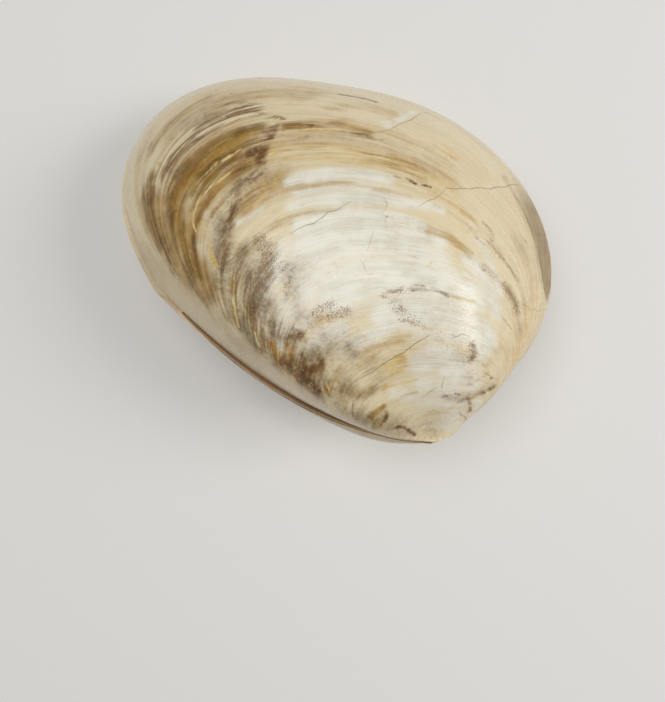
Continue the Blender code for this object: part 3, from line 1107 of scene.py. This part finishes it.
# %% Mauve borders of the brown
MAUVE = (
    (1.0, 1.1, ((247, 152), (256, 149), (265, 147), (259, 161))),
    (1.0, 0.9, ((264, 133), (276, 129), (270, 139))),
    (0.8, 0.7, ((265, 163), (256, 170), (248, 178), (240, 184))),
    (1.0, 1.0, ((240, 184), (238, 197), (234, 210), (230, 222), (227, 234))),
    (0.8, 0.9, ((236, 187), (226, 199), (216, 208), (212, 217))),
    (0.9, 0.8, ((227, 234), (224, 246), (222, 258), (221, 270))),
    (0.7, 0.8, ((230, 248), (228, 258), (230, 266))),
    (0.6, 1.2, ((142, 140), (148, 130), (154, 133))),
    (0.5, 1.2, ((143, 158), (147, 148), (153, 143))),
    (0.6, 0.4, ((178, 133), (192, 119), (212, 110), (235, 103))),
    (0.6, 0.5, ((236, 105), (250, 103), (262, 106))),
    (0.7, 1.6, ((198, 127), (216, 117), (238, 111), (264, 113))),
    (0.6, 1.2, ((166, 172), (178, 154), (194, 138))),
    (0.7, 1.5, ((267, 245), (265, 258), (268, 272))),
    (0.7, 0.7, ((249, 268), (247, 280), (246, 292))),
    (0.7, 1.0, ((262, 285), (258, 298), (255, 312))),
    (0.8, 1.7, ((270, 308), (270, 320), (273, 334))),
    (0.8, 0.8, ((284, 330), (288, 338), (288, 345))),
    (0.9, 1.2, ((292, 338), (298, 332), (306, 340))),
    (0.8, 1.2, ((285, 362), (292, 372), (300, 382))),
    (0.8, 1.0, ((304, 385), (312, 392), (322, 400))),
    (0.6, 1.0, ((320, 358), (316, 350), (310, 345))),
    (0.5, 1.5, ((345, 382), (350, 398), (352, 415))),
    (0.5, 1.0, ((425, 332), (440, 337), (455, 342))),
    (0.5, 0.8, ((388, 434), (400, 432), (412, 436))),
    (0.5, 0.8, ((483, 265), (490, 269), (495, 276))),
    (0.5, 1.5, ((215, 255), (222, 275), (222, 292))),
    (0.4, 1.2, ((129, 175), (128, 190), (129, 205))),
)
print("mauve strokes:", len(MAUVE))

# %% Speckled places
SPECKLE = (
    (1.0, 2.2, ((262, 240), (266, 255), (268, 272), (262, 282))),
    (0.9, 1.6, ((272, 262), (276, 252), (278, 244))),
    (0.8, 1.4, ((290, 272), (288, 285), (284, 294))),
    (0.7, 1.3, ((280, 270), (290, 261), (302, 256))),
    (0.9, 1.6, ((286, 325), (295, 318), (304, 312))),
    (1.0, 1.8, ((322, 322), (334, 316), (346, 311))),
    (0.8, 1.6, ((305, 316), (318, 310), (332, 304))),
    (0.8, 2.2, ((312, 330), (325, 335), (338, 348))),
    (0.8, 1.9, ((340, 345), (348, 340), (338, 355), (330, 366))),
    (0.8, 1.4, ((385, 296), (405, 290), (425, 290), (448, 296))),
    (1.0, 1.4, ((402, 322), (420, 326), (438, 332))),
    (0.7, 1.9, ((395, 300), (400, 312), (412, 318))),
    (0.6, 1.6, ((440, 333), (455, 338), (462, 345))),
    (1.0, 1.6, ((471, 344), (476, 352), (472, 360))),
    (0.7, 1.9, ((452, 356), (466, 358), (478, 362))),
    (0.8, 1.3, ((484, 223), (494, 234), (490, 245))),
    (0.9, 1.0, ((488, 242), (498, 252), (508, 266), (518, 281))),
    (0.8, 1.4, ((483, 266), (495, 277), (505, 288))),
    (1.0, 1.8, ((507, 288), (514, 300), (517, 312))),
    (0.7, 1.3, ((512, 312), (517, 322), (521, 332))),
    (0.8, 1.3, ((442, 396), (455, 400), (470, 398))),
    (0.9, 1.4, ((468, 396), (480, 394), (494, 387))),
    (0.8, 1.1, ((466, 402), (470, 412))),
    (0.6, 1.9, ((142, 135), (150, 142), (146, 158))),
    (0.6, 1.6, ((222, 235), (226, 250), (224, 265))),
    (0.6, 1.9, ((250, 295), (256, 285), (262, 275))),
    (0.5, 2.4, ((430, 205), (450, 215), (470, 225))),
    (0.5, 1.3, ((350, 280), (356, 278), (362, 282))),
    (0.6, 3.4, ((256, 262), (258, 295), (266, 325))),
    (0.6, 3.0, ((285, 262), (285, 300), (292, 325))),
    (0.5, 2.6, ((310, 300), (318, 330), (325, 350))),
    (0.8, 3.0, ((318, 352), (330, 348), (344, 344))),
)
print("speckle strokes:", len(SPECKLE))

# %% Banded stretches
BANDED = (
    (1.0, 4.5, ((165, 170), (185, 145), (215, 125), (250, 110))),
    (0.9, 3.0, ((200, 190), (215, 170), (240, 150), (265, 140))),
    (0.8, 3.0, ((290, 125), (330, 125), (370, 135))),
    (0.8, 2.5, ((290, 150), (330, 150), (380, 158), (420, 175))),
    (0.9, 3.0, ((235, 280), (245, 310), (262, 340), (280, 360))),
    (0.8, 2.5, ((280, 330), (295, 355), (315, 385))),
    (0.6, 2.5, ((450, 400), (470, 390), (490, 375))),
    (0.4, 3.0, ((440, 180), (470, 200), (495, 230))),
    (0.5, 2.0, ((430, 300), (460, 310), (480, 325))),
    (0.5, 2.5, ((220, 100), (260, 95), (300, 95))),
)
print("banded strokes:", len(BANDED))

# %% All marks by name
MARKS = {
    "warm": WARM, "dusk": DUSK, "bone": BONE_ZONES, "tan": TAN_BANDS, "ochre": OCHRE,
    "pale_gold_and_glint": PALE_GOLD_AND_GLINT, "gold": GOLD, "olive": OLIVE, "peach": PEACH,
    "brown": BROWN, "mauve": MAUVE, "speckle": SPECKLE, "banded": BANDED,
}
marks = {label: [(*row[:-1], on_shell(row[-1])) for row in rows] for label, rows in MARKS.items()}
cracks = [(strength, on_shell(path)) for strength, path in CRACKS]
print("stain strokes:", sum(len(rows) for rows in marks.values()))

# %% [markdown]
# ## The upper valve
#
# This is the side that shows, so it gets the finer grid and all of the marks.

# %% Upper valve
# how many feathers go with each stroke; the other stains stay soft
FEATHERS = {
    "tan": 1, "ochre": 2, "pale_gold_and_glint": 1, "gold": 2, "olive": 1, "peach": 1, "brown": 2, "mauve": 2
}
UPPER_ROWS = 296
UPPER_COLUMNS = 326
# dusk along the hinge of the lower valve, partly painted shade: strength, and how far round the line
HINGE_DUSK_AND_SHADE = 0.8
HINGE_DUSK_AND_SHADE_REACH = 0.06


def valve_notes(points, grow, way, side, stains):
    """What the finish has to know at each point of a valve: growth, stains, painted shade and cracks.
    """
    flat = points.reshape(-1, 3)
    notes = {"growth": growth_line(grow, way).ravel(), "way_round": way.ravel()}
    # the front strip's mask carries its stain and its painted shade
    notes["front_strip_stain_and_shade"] = past_front_edge(grow, way).ravel()
    for label, strokes in stains.items():
        notes[label] = stain(flat, grow.ravel(), feathered(strokes, FEATHERS.get(label, 0)))
    # on the lower valve a dusk along the hinge, partly painted shade under the ligament
    if side < 0:
        hinge_dusk_and_shade = HINGE_DUSK_AND_SHADE * bell(way.ravel(), HINGE_DUSK_AND_SHADE_REACH)
        notes["dusk"] = np.maximum(notes["dusk"], hinge_dusk_and_shade)
    normals = unit_normals(points).reshape(-1, 3)
    signed, strong = crack_lines(flat, normals, cracks if side > 0 else ())
    notes["crack_side"] = signed
    notes["crack_strength"] = strong
    return notes


def make_valve(name, rows, columns, side, slip, stains):
    """One closed valve: side +1 lies above the seam plane and -1 below it."""
    points, grow, way = valve_grid(rows, columns, slip)
    notes = valve_notes(points, grow, way, side, stains)
    placed = points.reshape(-1, 3) * (1.0, 1.0, side)
    placed[:, :2] += slip_way * slip * slip_share(grow.ravel())[:, None]
    placed = lay_down(placed)
    placed[:, 2] = np.maximum(placed[:, 2], 0.0)
    return closed_mesh(name, placed, grid_faces(*grow.shape), notes, fill=True)


upper_valve = make_valve("upper_valve_stone", UPPER_ROWS, UPPER_COLUMNS, 1, 0.0, marks)

# %% [markdown]
# ## The lower valve
#
# The same surface, mirrored under the seam plane and slipped a little outwards on the hinge
# side.  What shows of it is a pale lip along the hinge, greyed by a dusk that is partly painted
# shade under the ligament, and the side that the clam rests on, which is flat where it would
# pass under the floor.  Half of the marks are enough for it.

# %% Lower valve
LOWER_ROWS = 230
LOWER_COLUMNS = 260
lower_marks = {label: rows[::2] for label, rows in marks.items()}
lower_valve = make_valve("lower_valve_stone", LOWER_ROWS, LOWER_COLUMNS, -1, SLIP, lower_marks)

# %% [markdown]
# ## The ligament
#
# A tapered rod carried along the hinge edge.  Its outer face is layered, with dark borders that
# are partly painted shade where it meets the valves, tan in between and a paler line that is a
# painted highlight, so each point notes how far round the rod it is.

# %% Ligament
LIGAMENT_STEPS = 240
LIGAMENT_ROUND = 28
LIGAMENT_DRAWN = 0.35
# share of its length over which the rod rounds off to a point
LIGAMENT_TIP = 0.006
# layers round the rod and fibres along it: depth as a share of the radius, and how dense
LAYERS = (0.05, 7.0)
FIBRES = (0.04, 900.0)


def make_ligament(name):
    """A rod of ligament_radius carried along the hinge edge, closed to a point at both ends.

    Its radius is cut by squared cosines round the rod and squared sines along it.
    """
    part = drawn_steps(LIGAMENT_STEPS, LIGAMENT_DRAWN)
    s = LIGAMENT_SPAN[0] + (LIGAMENT_SPAN[1] - LIGAMENT_SPAN[0]) * part
    edge, outward = hinge_edge(s)
    radius = ligament_radius(s)
    ends = ramp(np.minimum(part, 1.0 - part), LIGAMENT_TIP)
    thick = radius * np.sqrt(ends * (2.0 - ends))
    angle = np.linspace(0.0, 2.0 * math.pi, LIGAMENT_ROUND, endpoint=False)
    layered = 1.0 - LAYERS[0] * np.cos(LAYERS[1] * angle)[None, :] ** 2
    fibres = 1.0 - FIBRES[0] * np.sin(FIBRES[1] * s)[:, None] ** 2
    size = thick[:, None] * layered * fibres
    out = (LIGAMENT_OUT * radius)[:, None] + size * np.cos(angle)[None, :]
    flat = edge[:, None, :] + outward[:, None, :] * out[..., None]
    points = np.concatenate([flat, (size * np.sin(angle)[None, :])[..., None]], axis=-1)
    faces = grid_faces(LIGAMENT_STEPS, LIGAMENT_ROUND, closed=True)
    notes = {
        "growth": np.repeat(s, LIGAMENT_ROUND),
        "way_round": np.tile(np.sin(angle), LIGAMENT_STEPS),
    }
    return closed_mesh(name, lay_down(points.reshape(-1, 3)), faces, notes, fill=False)


ligament = make_ligament("hinge_ligament_strip")

# %% [markdown]
# ## Shader maths as sums
#
# A finish is easier to read as a formula than as a web of nodes.  This class wraps a socket,
# so that a + b or 1 - mask adds its Math node, and one method adds any other node.

# %% The class for shader values
class Wire:
    """One shader value; sums on it add Math nodes to its tree."""

    def __init__(self, tree, socket=None):
        self.tree = tree
        self.socket = socket

    def node(self, kind, settings=None, values=None, output=0):
        """Adds a node: settings first, then its sockets, and gives back one output."""
        made = self.tree.nodes.new(kind)
        for name, value in (settings or {}).items():
            setattr(made, name, value)
        for name, value in (values or {}).items():
            if isinstance(value, Wire):
                self.tree.links.new(value.socket, made.inputs[name])
            else:
                made.inputs[name].default_value = value
        return Wire(self.tree, made.outputs[output])

    def math(self, operation, *values):
        """A Math node on one to three values."""
        return self.node("ShaderNodeMath", {"operation": operation}, dict(enumerate(values)))

    def __add__(self, other):
        return self.math("ADD", self, other)

    def __radd__(self, other):
        return self.math("ADD", other, self)

    def __sub__(self, other):
        return self.math("SUBTRACT", self, other)

    def __rsub__(self, other):
        return self.math("SUBTRACT", other, self)

    def __mul__(self, other):
        return self.math("MULTIPLY", self, other)

    def __rmul__(self, other):
        return self.math("MULTIPLY", other, self)

    def __abs__(self):
        return self.math("ABSOLUTE", self)

    def between(self, start, end):
        """0 at start and 1 at end, smooth between them and level past both."""
        values = {"Value": self, "From Min": start, "From Max": end}
        return self.node("ShaderNodeMapRange", {"interpolation_type": "SMOOTHSTEP"}, values)

    def over(self, under, colour, amount):
        """The colour under with another colour laid over it by an amount 0..1."""
        values = {0: amount, 6: under, 7: colour}
        return self.node("ShaderNodeMix", {"data_type": "RGBA"}, values, 2)

    def join(self, x, y, z=0.0):
        """Three values as one vector."""
        return self.node("ShaderNodeCombineXYZ", None, {"X": x, "Y": y, "Z": z})

    def noise(self, vector, scale, detail=3.0, rough=0.5):
        """Soft noise 0..1 over a vector."""
        values = {"Vector": vector, "Scale": scale, "Detail": detail, "Roughness": rough}
        return self.node("ShaderNodeTexNoise", {"noise_dimensions": "3D"}, values)

    def note(self, label):
        """A value that the mesh keeps at each point."""
        return self.node("ShaderNodeAttribute", {"attribute_name": label}, None, 2)


print("a Wire can:", ", ".join(name for name in vars(Wire) if not name.startswith("_")))

# %% Tone, start and end of a finish
def stone_tone(red, green, blue):
    """A display colour 0..255 as the linear colour that a shader takes."""
    shown = np.array((red, green, blue)) / 255.0
    linear = np.where(shown <= 0.04045, shown / 12.92, ((shown + 0.055) / 1.055) ** 2.4)
    return (*[float(value) for value in linear], 1.0)


def new_finish(name):
    """An empty material, its Principled shader and a Wire to start from."""
    finish = bpy.data.materials.new(name)
    finish.use_nodes = True
    shader = finish.node_tree.nodes["Principled BSDF"]
    return finish, shader, Wire(finish.node_tree)


def plug_in(shader, start, colour, rough, height, distance, strength):
    """Plugs colour, roughness and the bump of a height (its distance in metres) into a shader."""
    values = {"Height": height, "Distance": distance, "Strength": strength}
    bump = start.node("ShaderNodeBump", None, values)
    for socket, wire in (("Base Color", colour), ("Roughness", rough), ("Normal", bump)):
        start.tree.links.new(wire.socket, shader.inputs[socket])


print("a middle grey in a shader is %.3f" % stone_tone(128, 128, 128)[0])

# %% [markdown]
# ## The polished stone
#
# Three ideas make the stone.  Streaks are noise that is long round the shell and short along
# its growth, so every band follows a growth line.  The soft masks from the mesh say where a
# stain may show, and the streaks break it up.  Polish is a low roughness that stained and
# cracked places lose a little.

# %% Tones of the stone
CREAM = stone_tone(230, 215, 180)
PALE_CREAM = stone_tone(242, 233, 206)
TAN = stone_tone(202, 176, 130)
BONE_TONES = (stone_tone(240, 238, 226), stone_tone(226, 223, 208))
WARM_TONES = (stone_tone(188, 154, 90), stone_tone(146, 110, 52))
TAN_TONES = (TAN, WARM_TONES[0])
DUSK_TONES = (stone_tone(158, 138, 104), stone_tone(114, 92, 60))
OCHRE_TONES = (stone_tone(222, 196, 128), stone_tone(200, 162, 92))
# pale gold: partly stain, partly painted glints off the relief
PALE_GOLD_AND_GLINT_TONES = (stone_tone(248, 230, 172), stone_tone(228, 194, 122))
GOLD_TONES = (stone_tone(190, 144, 62), stone_tone(148, 102, 36))
OLIVE_TONES = (stone_tone(156, 122, 50), stone_tone(110, 80, 30))
PEACH_TONES = (stone_tone(240, 219, 174), stone_tone(222, 188, 132))
BROWN_TONES = (stone_tone(130, 86, 40), stone_tone(86, 54, 24))
MAUVE_TONES = (stone_tone(150, 116, 74), stone_tone(108, 78, 44))
# tones of the front strip: partly its own stain, partly painted shade of the steep strip
STRIP_STAIN_AND_SHADE_TONES = (stone_tone(158, 132, 92), stone_tone(132, 106, 70))
CALM_TONES = (stone_tone(216, 198, 166), stone_tone(196, 174, 138))
SPECKLE_TONE = stone_tone(142, 102, 54)
CRACK_TONE = stone_tone(104, 84, 62)
print("the cream in a shader is", np.round(CREAM[:3], 2))

# %% Noises of the stone
# streaks: changes along the growth, changes round the line, detail, and a seed
BROAD = (18.0, 2.5, 2.0, 1.3)
MEDIUM = (62.0, 6.0, 3.0, 5.1)
FINE = (190.0, 12.0, 3.0, 9.7)
HAIR = (430.0, 14.0, 2.0, 3.4)
STREAK_ROUGHNESS = 0.60
# even noises: changes in a metre, detail and roughness
DRIFT = (70.0, 3.0)
CLOUD = (260.0, 4.0, 0.65)
BLOTCH = (95.0, 5.0, 0.65)
GRAIN = (4200.0, 2.0, 0.6)
MOTTLE = (1500.0, 3.0, 0.7)
# growth by which the drift moves the streaks
DRIFT_GROWTH = 0.008


def stone_noises(start):
    """What the mesh notes and the noises say at a point, and the mixes that break up stains."""
    place = start.node("ShaderNodeTexCoord", None, None, "Object")
    grown = start.note("growth")
    way = start.note("way_round")
    line = grown + (start.noise(place, *DRIFT) - 0.5) * DRIFT_GROWTH

    def streaks(along, round_it, detail, seed):
        """Noise that is long round the shell and short along its growth, stretched to 0..1."""
        vector = start.join(way * round_it, line * along, seed)
        return start.noise(vector, 1.0, detail, STREAK_ROUGHNESS).between(0.34, 0.66)

    broad, medium, fine, hair = (streaks(*values) for values in (BROAD, MEDIUM, FINE, HAIR))
    cloud = start.noise(place, *CLOUD).between(0.3, 0.7)
    blotch = start.noise(place, *BLOTCH).between(0.35, 0.65)
    streaky = medium * 0.45 + fine * 0.30 + cloud * 0.25
    patchy = medium * 0.25 + fine * 0.15 + cloud * 0.30 + blotch * 0.30
    return SimpleNamespace(
        start=start, grown=grown, way=way, banded=start.note("banded"),
        broad=broad, medium=medium, fine=fine, hair=hair, cloud=cloud, blotch=blotch,
        grain=start.noise(place, *GRAIN).between(0.42, 0.62),
        mottle=start.noise(place, *MOTTLE),
        crisp=hair.between(0.52, 0.66),
        shade=(cloud * 0.4 + medium * 0.4 + hair * 0.2).between(0.25, 0.8),
        streaky=streaky,
        patchy=patchy,
        washed=broad * 0.3 + streaky * 0.4 + blotch * 0.3,
        chalky=medium * 0.4 + fine * 0.2 + blotch * 0.4,
        smoky=patchy * 0.6 + blotch * 0.4,
        mossy=medium * 0.5 + blotch * 0.5,
        milky=streaky * 0.6 + blotch * 0.4,
        dull=blotch * 0.5 + broad * 0.3,
    )


print("a fine streak is about %.1f mm across" % (BEAK_TO_MARGIN / FINE[0]))

# %% [markdown]
# ## Stains from masks
#
# Each stain is laid like a glaze.  Its mask is thinned by a noise, and the stain comes in where
# the mask passes a level, so that its edge is ragged along the growth lines.  Two tones keep it
# from looking painted.

# %% Stains
# of each stain the noise that breaks it up, its tones, the level where it comes in, over how
# much, and how much of it there is at most
STAINS = {
    "warm": ("washed", WARM_TONES, 0.12, 0.80, 0.92),
    "bone": ("chalky", BONE_TONES, 0.16, 0.66, 0.95),
    "dusk": ("smoky", DUSK_TONES, 0.15, 0.85, 0.85),
    "tan": ("streaky", TAN_TONES, 0.25, 0.60, 0.75),
    "olive": ("mossy", OLIVE_TONES, 0.20, 0.70, 0.92),
    "peach": ("milky", PEACH_TONES, 0.20, 0.90, 0.85),
    "ochre": ("streaky", OCHRE_TONES, 0.25, 0.65, 0.85),
    "mauve": ("patchy", MAUVE_TONES, 0.30, 0.70, 0.88),
    "gold": ("streaky", GOLD_TONES, 0.30, 0.80, 0.92),
    "brown": ("patchy", BROWN_TONES, 0.25, 0.65, 0.94),
    # pale gold lines: partly stain, partly painted glints off the relief
    "pale_gold_and_glint": ("streaky", PALE_GOLD_AND_GLINT_TONES, 0.25, 0.40, 0.92),
    # the front strip: partly a stain, partly painted shade of the steep strip
    "front_strip_stain_and_shade": ("dull", STRIP_STAIN_AND_SHADE_TONES, 0.10, 0.90, 0.85),
}


def with_stain(stone, colour, label):
    """The colour with one stain over it, where mask*(0.55 + 0.90*noise) passes its level."""
    noise, tones, level, soft, most = STAINS[label]
    thinned = stone.start.note(label) * (0.55 + getattr(stone, noise) * 0.90)
    tone = stone.start.over(*tones, stone.shade)
    return stone.start.over(colour, tone, thinned.between(level, level + soft) * most)


print("stains:", ", ".join(STAINS))

# %% Ground, bands, threads and flecks
UNDER_THE_BANDS = ("warm", "bone", "dusk")
OVER_THE_BANDS = ("tan", "olive", "peach", "ochre", "mauve", "gold", "brown", "pale_gold_and_glint")


def ground_colour(stone):
    """Cream stone with tan streaks, more of them in banded stretches, and thin pale ones."""
    over = stone.start.over
    ground = stone.broad * 0.40 + stone.medium * 0.40 + stone.fine * 0.20
    colour = over(CREAM, TAN, ground.between(0.30, 0.80) * (0.32 + stone.banded * 0.35))
    pale = stone.medium * 0.4 + stone.hair * 0.6
    return over(colour, PALE_CREAM, pale.between(0.60, 0.80) * 0.40)


def with_bands(stone, colour):
    """The colour with warm, brown and pale lines along the growth where the stone is banded."""
    over = stone.start.over
    lines = stone.banded * (0.3 + stone.medium * 0.5 + stone.fine * 0.6)
    colour = over(colour, WARM_TONES[1], lines.between(0.55, 1.00) * 0.70)
    dark_lines = stone.banded * (stone.fine * 0.5 + stone.crisp * 0.5)
    colour = over(colour, BROWN_TONES[0], dark_lines.between(0.50, 0.85) * 0.45)
    light_lines = stone.banded * (1.0 - stone.fine) * (0.4 + stone.crisp * 0.6)
    return over(colour, PALE_CREAM, light_lines.between(0.35, 0.60) * 0.25)


def with_threads(stone, colour):
    """The colour with hair-thin warm threads, more of them where the stone is stained."""
    note = stone.start.note
    stained = note("warm") + note("dusk") + stone.banded * 0.5
    threads = stone.crisp * 0.55 + stone.cloud * 0.3 + stone.fine * 0.25
    amount = threads.between(0.80, 1.0) * (0.12 + stained * 0.25)
    return stone.start.over(colour, WARM_TONES[1], amount)


def with_flecks(stone, colour):
    """The colour with dark and pale flecks on dusk, mauve and warm stains, pale on brown too."""
    note = stone.start.note
    mottled = note("dusk") + note("mauve") * 0.6 + note("warm") * 0.3
    dark = stone.mottle.between(0.50, 0.64) * mottled
    colour = stone.start.over(colour, DUSK_TONES[1], dark * 0.40)
    pale = stone.mottle.between(0.46, 0.34) * (mottled + note("brown") * 0.4)
    return stone.start.over(colour, CREAM, pale * 0.24)


print("stains under the bands:", len(UNDER_THE_BANDS), "and over them:", len(OVER_THE_BANDS))

# %% Polished shell finish
STONE_IOR = 1.53
# distance in mm from a crack's middle where it starts and where it is darkest
CRACK_EDGES = (0.11, 0.02)
# the calm lip along the hinge: way round and growth between which it fades in
LIP_WAY = (0.105, 0.075)
LIP_GROWTH = (0.03, 0.12)
# how much of the dots, of the calm lip and of the cracks there is at most
DOTS_MOST = 0.70
LIP_MOST = 0.72
CRACKS_MOST = 0.72
# depth of the bump in metres, and its strength
STONE_BUMP = 0.00012
STONE_BUMP_STRENGTH = 0.55


def shell_finish(name, polish):
    """The stone of one valve: ground, stains, bands and flecks, then dots, lip, strip, cracks."""
    finish, shader, start = new_finish(name)
    stone = stone_noises(start)
    colour = ground_colour(stone)
    for label in UNDER_THE_BANDS:
        colour = with_stain(stone, colour, label)
    colour = with_bands(stone, colour)
    for label in OVER_THE_BANDS:
        colour = with_stain(stone, colour, label)
    colour = with_flecks(stone, with_threads(stone, colour))

    grains = stone.grain * 0.75 + stone.fine * 0.25 + stone.mottle * 0.3
    dots = (start.note("speckle") * (0.35 + stone.blotch * 0.75) * grains).between(0.34, 0.62)
    colour = start.over(colour, SPECKLE_TONE, dots * DOTS_MOST)
    lip = (stone.way + 0.012 * (stone.cloud - 0.5)).between(*LIP_WAY)
    lip = lip * stone.grown.between(*LIP_GROWTH)
    colour = start.over(colour, start.over(*CALM_TONES, stone.blotch), lip * LIP_MOST)
    # darkens the front strip, partly as a stain and partly as painted shade
    colour = with_stain(stone, colour, "front_strip_stain_and_shade")
    crack = abs(start.note("crack_side")).between(*CRACK_EDGES) * start.note("crack_strength")
    colour = start.over(colour, CRACK_TONE, crack.between(0.0, 1.0) * CRACKS_MOST)

    rough = polish + (1.0 - stone.cloud) * 0.06 + dots * 0.15 + crack * 0.3 + stone.fine * 0.08
    height = stone.fine * 0.35 + stone.medium * 0.25 + stone.hair * 0.30 + stone.mottle * 0.25
    height = (height - crack - dots * 0.3) * (0.7 + stone.banded * 0.8 - lip * 0.4)
    plug_in(shader, start, colour, rough, height, STONE_BUMP, STONE_BUMP_STRENGTH)
    shader.inputs["IOR"].default_value = STONE_IOR
    print(name, len(start.tree.nodes), "nodes")
    return finish


upper_valve.data.materials.append(shell_finish("polished_upper_stone", 0.19))
lower_valve.data.materials.append(shell_finish("polished_lower_stone", 0.26))

# %% [markdown]
# ## The ligament's finish
#
# Brown stone in layers: the note round the rod puts the darkest tone at both borders, partly
# painted shade where the rod meets the valves, and a paler line between them that is a painted
# highlight.

# %% Ligament finish
LIGAMENT_TAN = stone_tone(186, 146, 100)
LIGAMENT_DARK = stone_tone(104, 74, 48)
# tone of the paler line, a painted highlight along the rod
LIGAMENT_HIGHLIGHT = stone_tone(222, 192, 146)
# changes of the noises along the rod and round it, the second one with a seed
FIBRE_NOISE = (60.0, 3.0)
LAYER_NOISE = (4.0, 9.0, 3.0)
LIGAMENT_CLOUD = 700.0
# the painted highlight line: its place round the rod, how far it wavers, and between what it fades in
HIGHLIGHT_LINE = 0.55
HIGHLIGHT_WAVER = 0.2
HIGHLIGHT_EDGES = (0.22, 0.06)
# between what the dark borders, partly painted shade, fade in: the sine of the angle round the rod
BORDER_LAYER_AND_SHADE_EDGES = (0.80, 0.98)
LIGAMENT_BUMP = 0.0001
LIGAMENT_BUMP_STRENGTH = 0.6


def ligament_finish(name):
    """Layered brown stone along the hinge, with fibres across the layers."""
    finish, shader, start = new_finish(name)
    place = start.node("ShaderNodeTexCoord", None, None, "Object")
    grown = start.note("growth")
    round_it = start.note("way_round")
    along, across = FIBRE_NOISE
    fibre = start.noise(start.join(grown * along, round_it * across), 1.0)
    along, across, seed = LAYER_NOISE
    layers = start.noise(start.join(grown * along, round_it * across, seed), 1.0, 2.0)
    cloud = start.noise(place, LIGAMENT_CLOUD)
    colour = start.over(LIGAMENT_TAN, LIGAMENT_DARK, layers.between(0.42, 0.58) * 0.75)
    colour = start.over(colour, LIGAMENT_DARK, fibre.between(0.50, 0.75) * 0.4)
    # a paler line along the rod: a painted highlight
    line = abs(round_it - HIGHLIGHT_LINE + (cloud - 0.5) * HIGHLIGHT_WAVER).between(*HIGHLIGHT_EDGES)
    colour = start.over(colour, LIGAMENT_HIGHLIGHT, line * 0.8)
    # dark borders: partly layers, partly painted shade where the rod meets the valves
    border_layer_and_shade = abs(round_it).between(*BORDER_LAYER_AND_SHADE_EDGES)
    colour = start.over(colour, LIGAMENT_DARK, border_layer_and_shade * 0.9)
    rough = 0.42 + cloud * 0.2
    height = fibre + cloud * 0.5
    plug_in(shader, start, colour, rough, height, LIGAMENT_BUMP, LIGAMENT_BUMP_STRENGTH)
    print(name, len(start.tree.nodes), "nodes")
    return finish


ligament.data.materials.append(ligament_finish("layered_brown_ligament"))

# %% [markdown]
# ## Hand the pieces to the frame
#
# Each new skin stands for the solid it was made from and rides on the clam's one body.

# %% Pieces and bodies
new_skins = {"upper_valve": upper_valve, "lower_valve": lower_valve, "hinge_ligament": ligament}
for node, piece in new_skins.items():
    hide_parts(node)
    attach(piece, "root")
    print(piece.name, "stands for", node)

# %% [markdown]
# ## Floor, light and camera
#
# A plain pale floor, a broad window light from the right, a soft light from above, a pale room
# all round, and a camera that looks straight down.

# %% Floor
FLOOR_HALF = 1.5
FLOOR_GREY = (0.80, 0.80, 0.80, 1.0)
FLOOR_ROUGHNESS = 0.8
floor_mesh = bpy.data.meshes.new("pale_floor")
corners = [(x * FLOOR_HALF, y * FLOOR_HALF, 0.0) for x, y in ((-1, -1), (1, -1), (1, 1), (-1, 1))]
floor_mesh.from_pydata(corners, [], [(0, 1, 2, 3)])
floor = in_scene("pale_floor", floor_mesh)
floor_finish, floor_shader, _ = new_finish("pale_paper")
floor_shader.inputs["Base Color"].default_value = FLOOR_GREY
floor_shader.inputs["Roughness"].default_value = FLOOR_ROUGHNESS
floor.data.materials.append(floor_finish)
print("floor is", 2 * FLOOR_HALF, "m wide")

# %% Lights
# of each lamp its place and target in metres, its size, power in watts and colour
WINDOW = ((0.60, 0.02, 0.45), (0.0, 0.0, 0.02), 0.32, 2.3, (1.0, 0.97, 0.92))
CEILING = ((-0.20, 0.10, 0.82), (0.0, 0.0, 0.0), 0.70, 3.8, (1.0, 0.985, 0.955))
ROOM_COLOUR = (1.0, 0.98, 0.94, 1.0)
ROOM_STRENGTH = 0.22


def area_light(name, place, target, size, power, colour):
    """A square soft light at place that faces target."""
    lamp = bpy.data.lights.new(name, "AREA")
    lamp.shape = "SQUARE"
    lamp.size = size
    lamp.energy = power
    lamp.color = colour
    obj = in_scene(name, lamp)
    obj.location = place
    way = np.array(target) - np.array(place)
    flat = math.hypot(way[0], way[1])
    obj.rotation_euler = (math.atan2(flat, -way[2]), 0.0, math.atan2(way[1], way[0]) - math.pi / 2)
    return obj


for lamp in (area_light("window", *WINDOW), area_light("ceiling", *CEILING)):
    print(lamp.name, "gives", round(lamp.data.energy, 1), "W")
room = bpy.data.worlds.new("studio")
bpy.context.scene.world = room
room.use_nodes = True
room.node_tree.nodes["Background"].inputs["Color"].default_value = ROOM_COLOUR
room.node_tree.nodes["Background"].inputs["Strength"].default_value = ROOM_STRENGTH
bpy.context.scene.view_settings.view_transform = "Standard"

# %% Camera
# height of the sensor in mm, and the nearest distance in metres that the camera sees
SENSOR_HEIGHT = 36.0
NEAREST_SEEN = 0.002
camera_data = bpy.data.cameras.new("camera")
camera_data.sensor_fit = "VERTICAL"
camera_data.sensor_height = SENSOR_HEIGHT
camera_data.lens = FOCAL_STEPS / PICTURE_HEIGHT * camera_data.sensor_height
camera_data.clip_start = NEAREST_SEEN
camera = in_scene("camera", camera_data)
camera.location = [float(value) * MM for value in EYE]
bpy.context.scene.camera = camera
print("lens %.1f mm" % camera_data.lens)
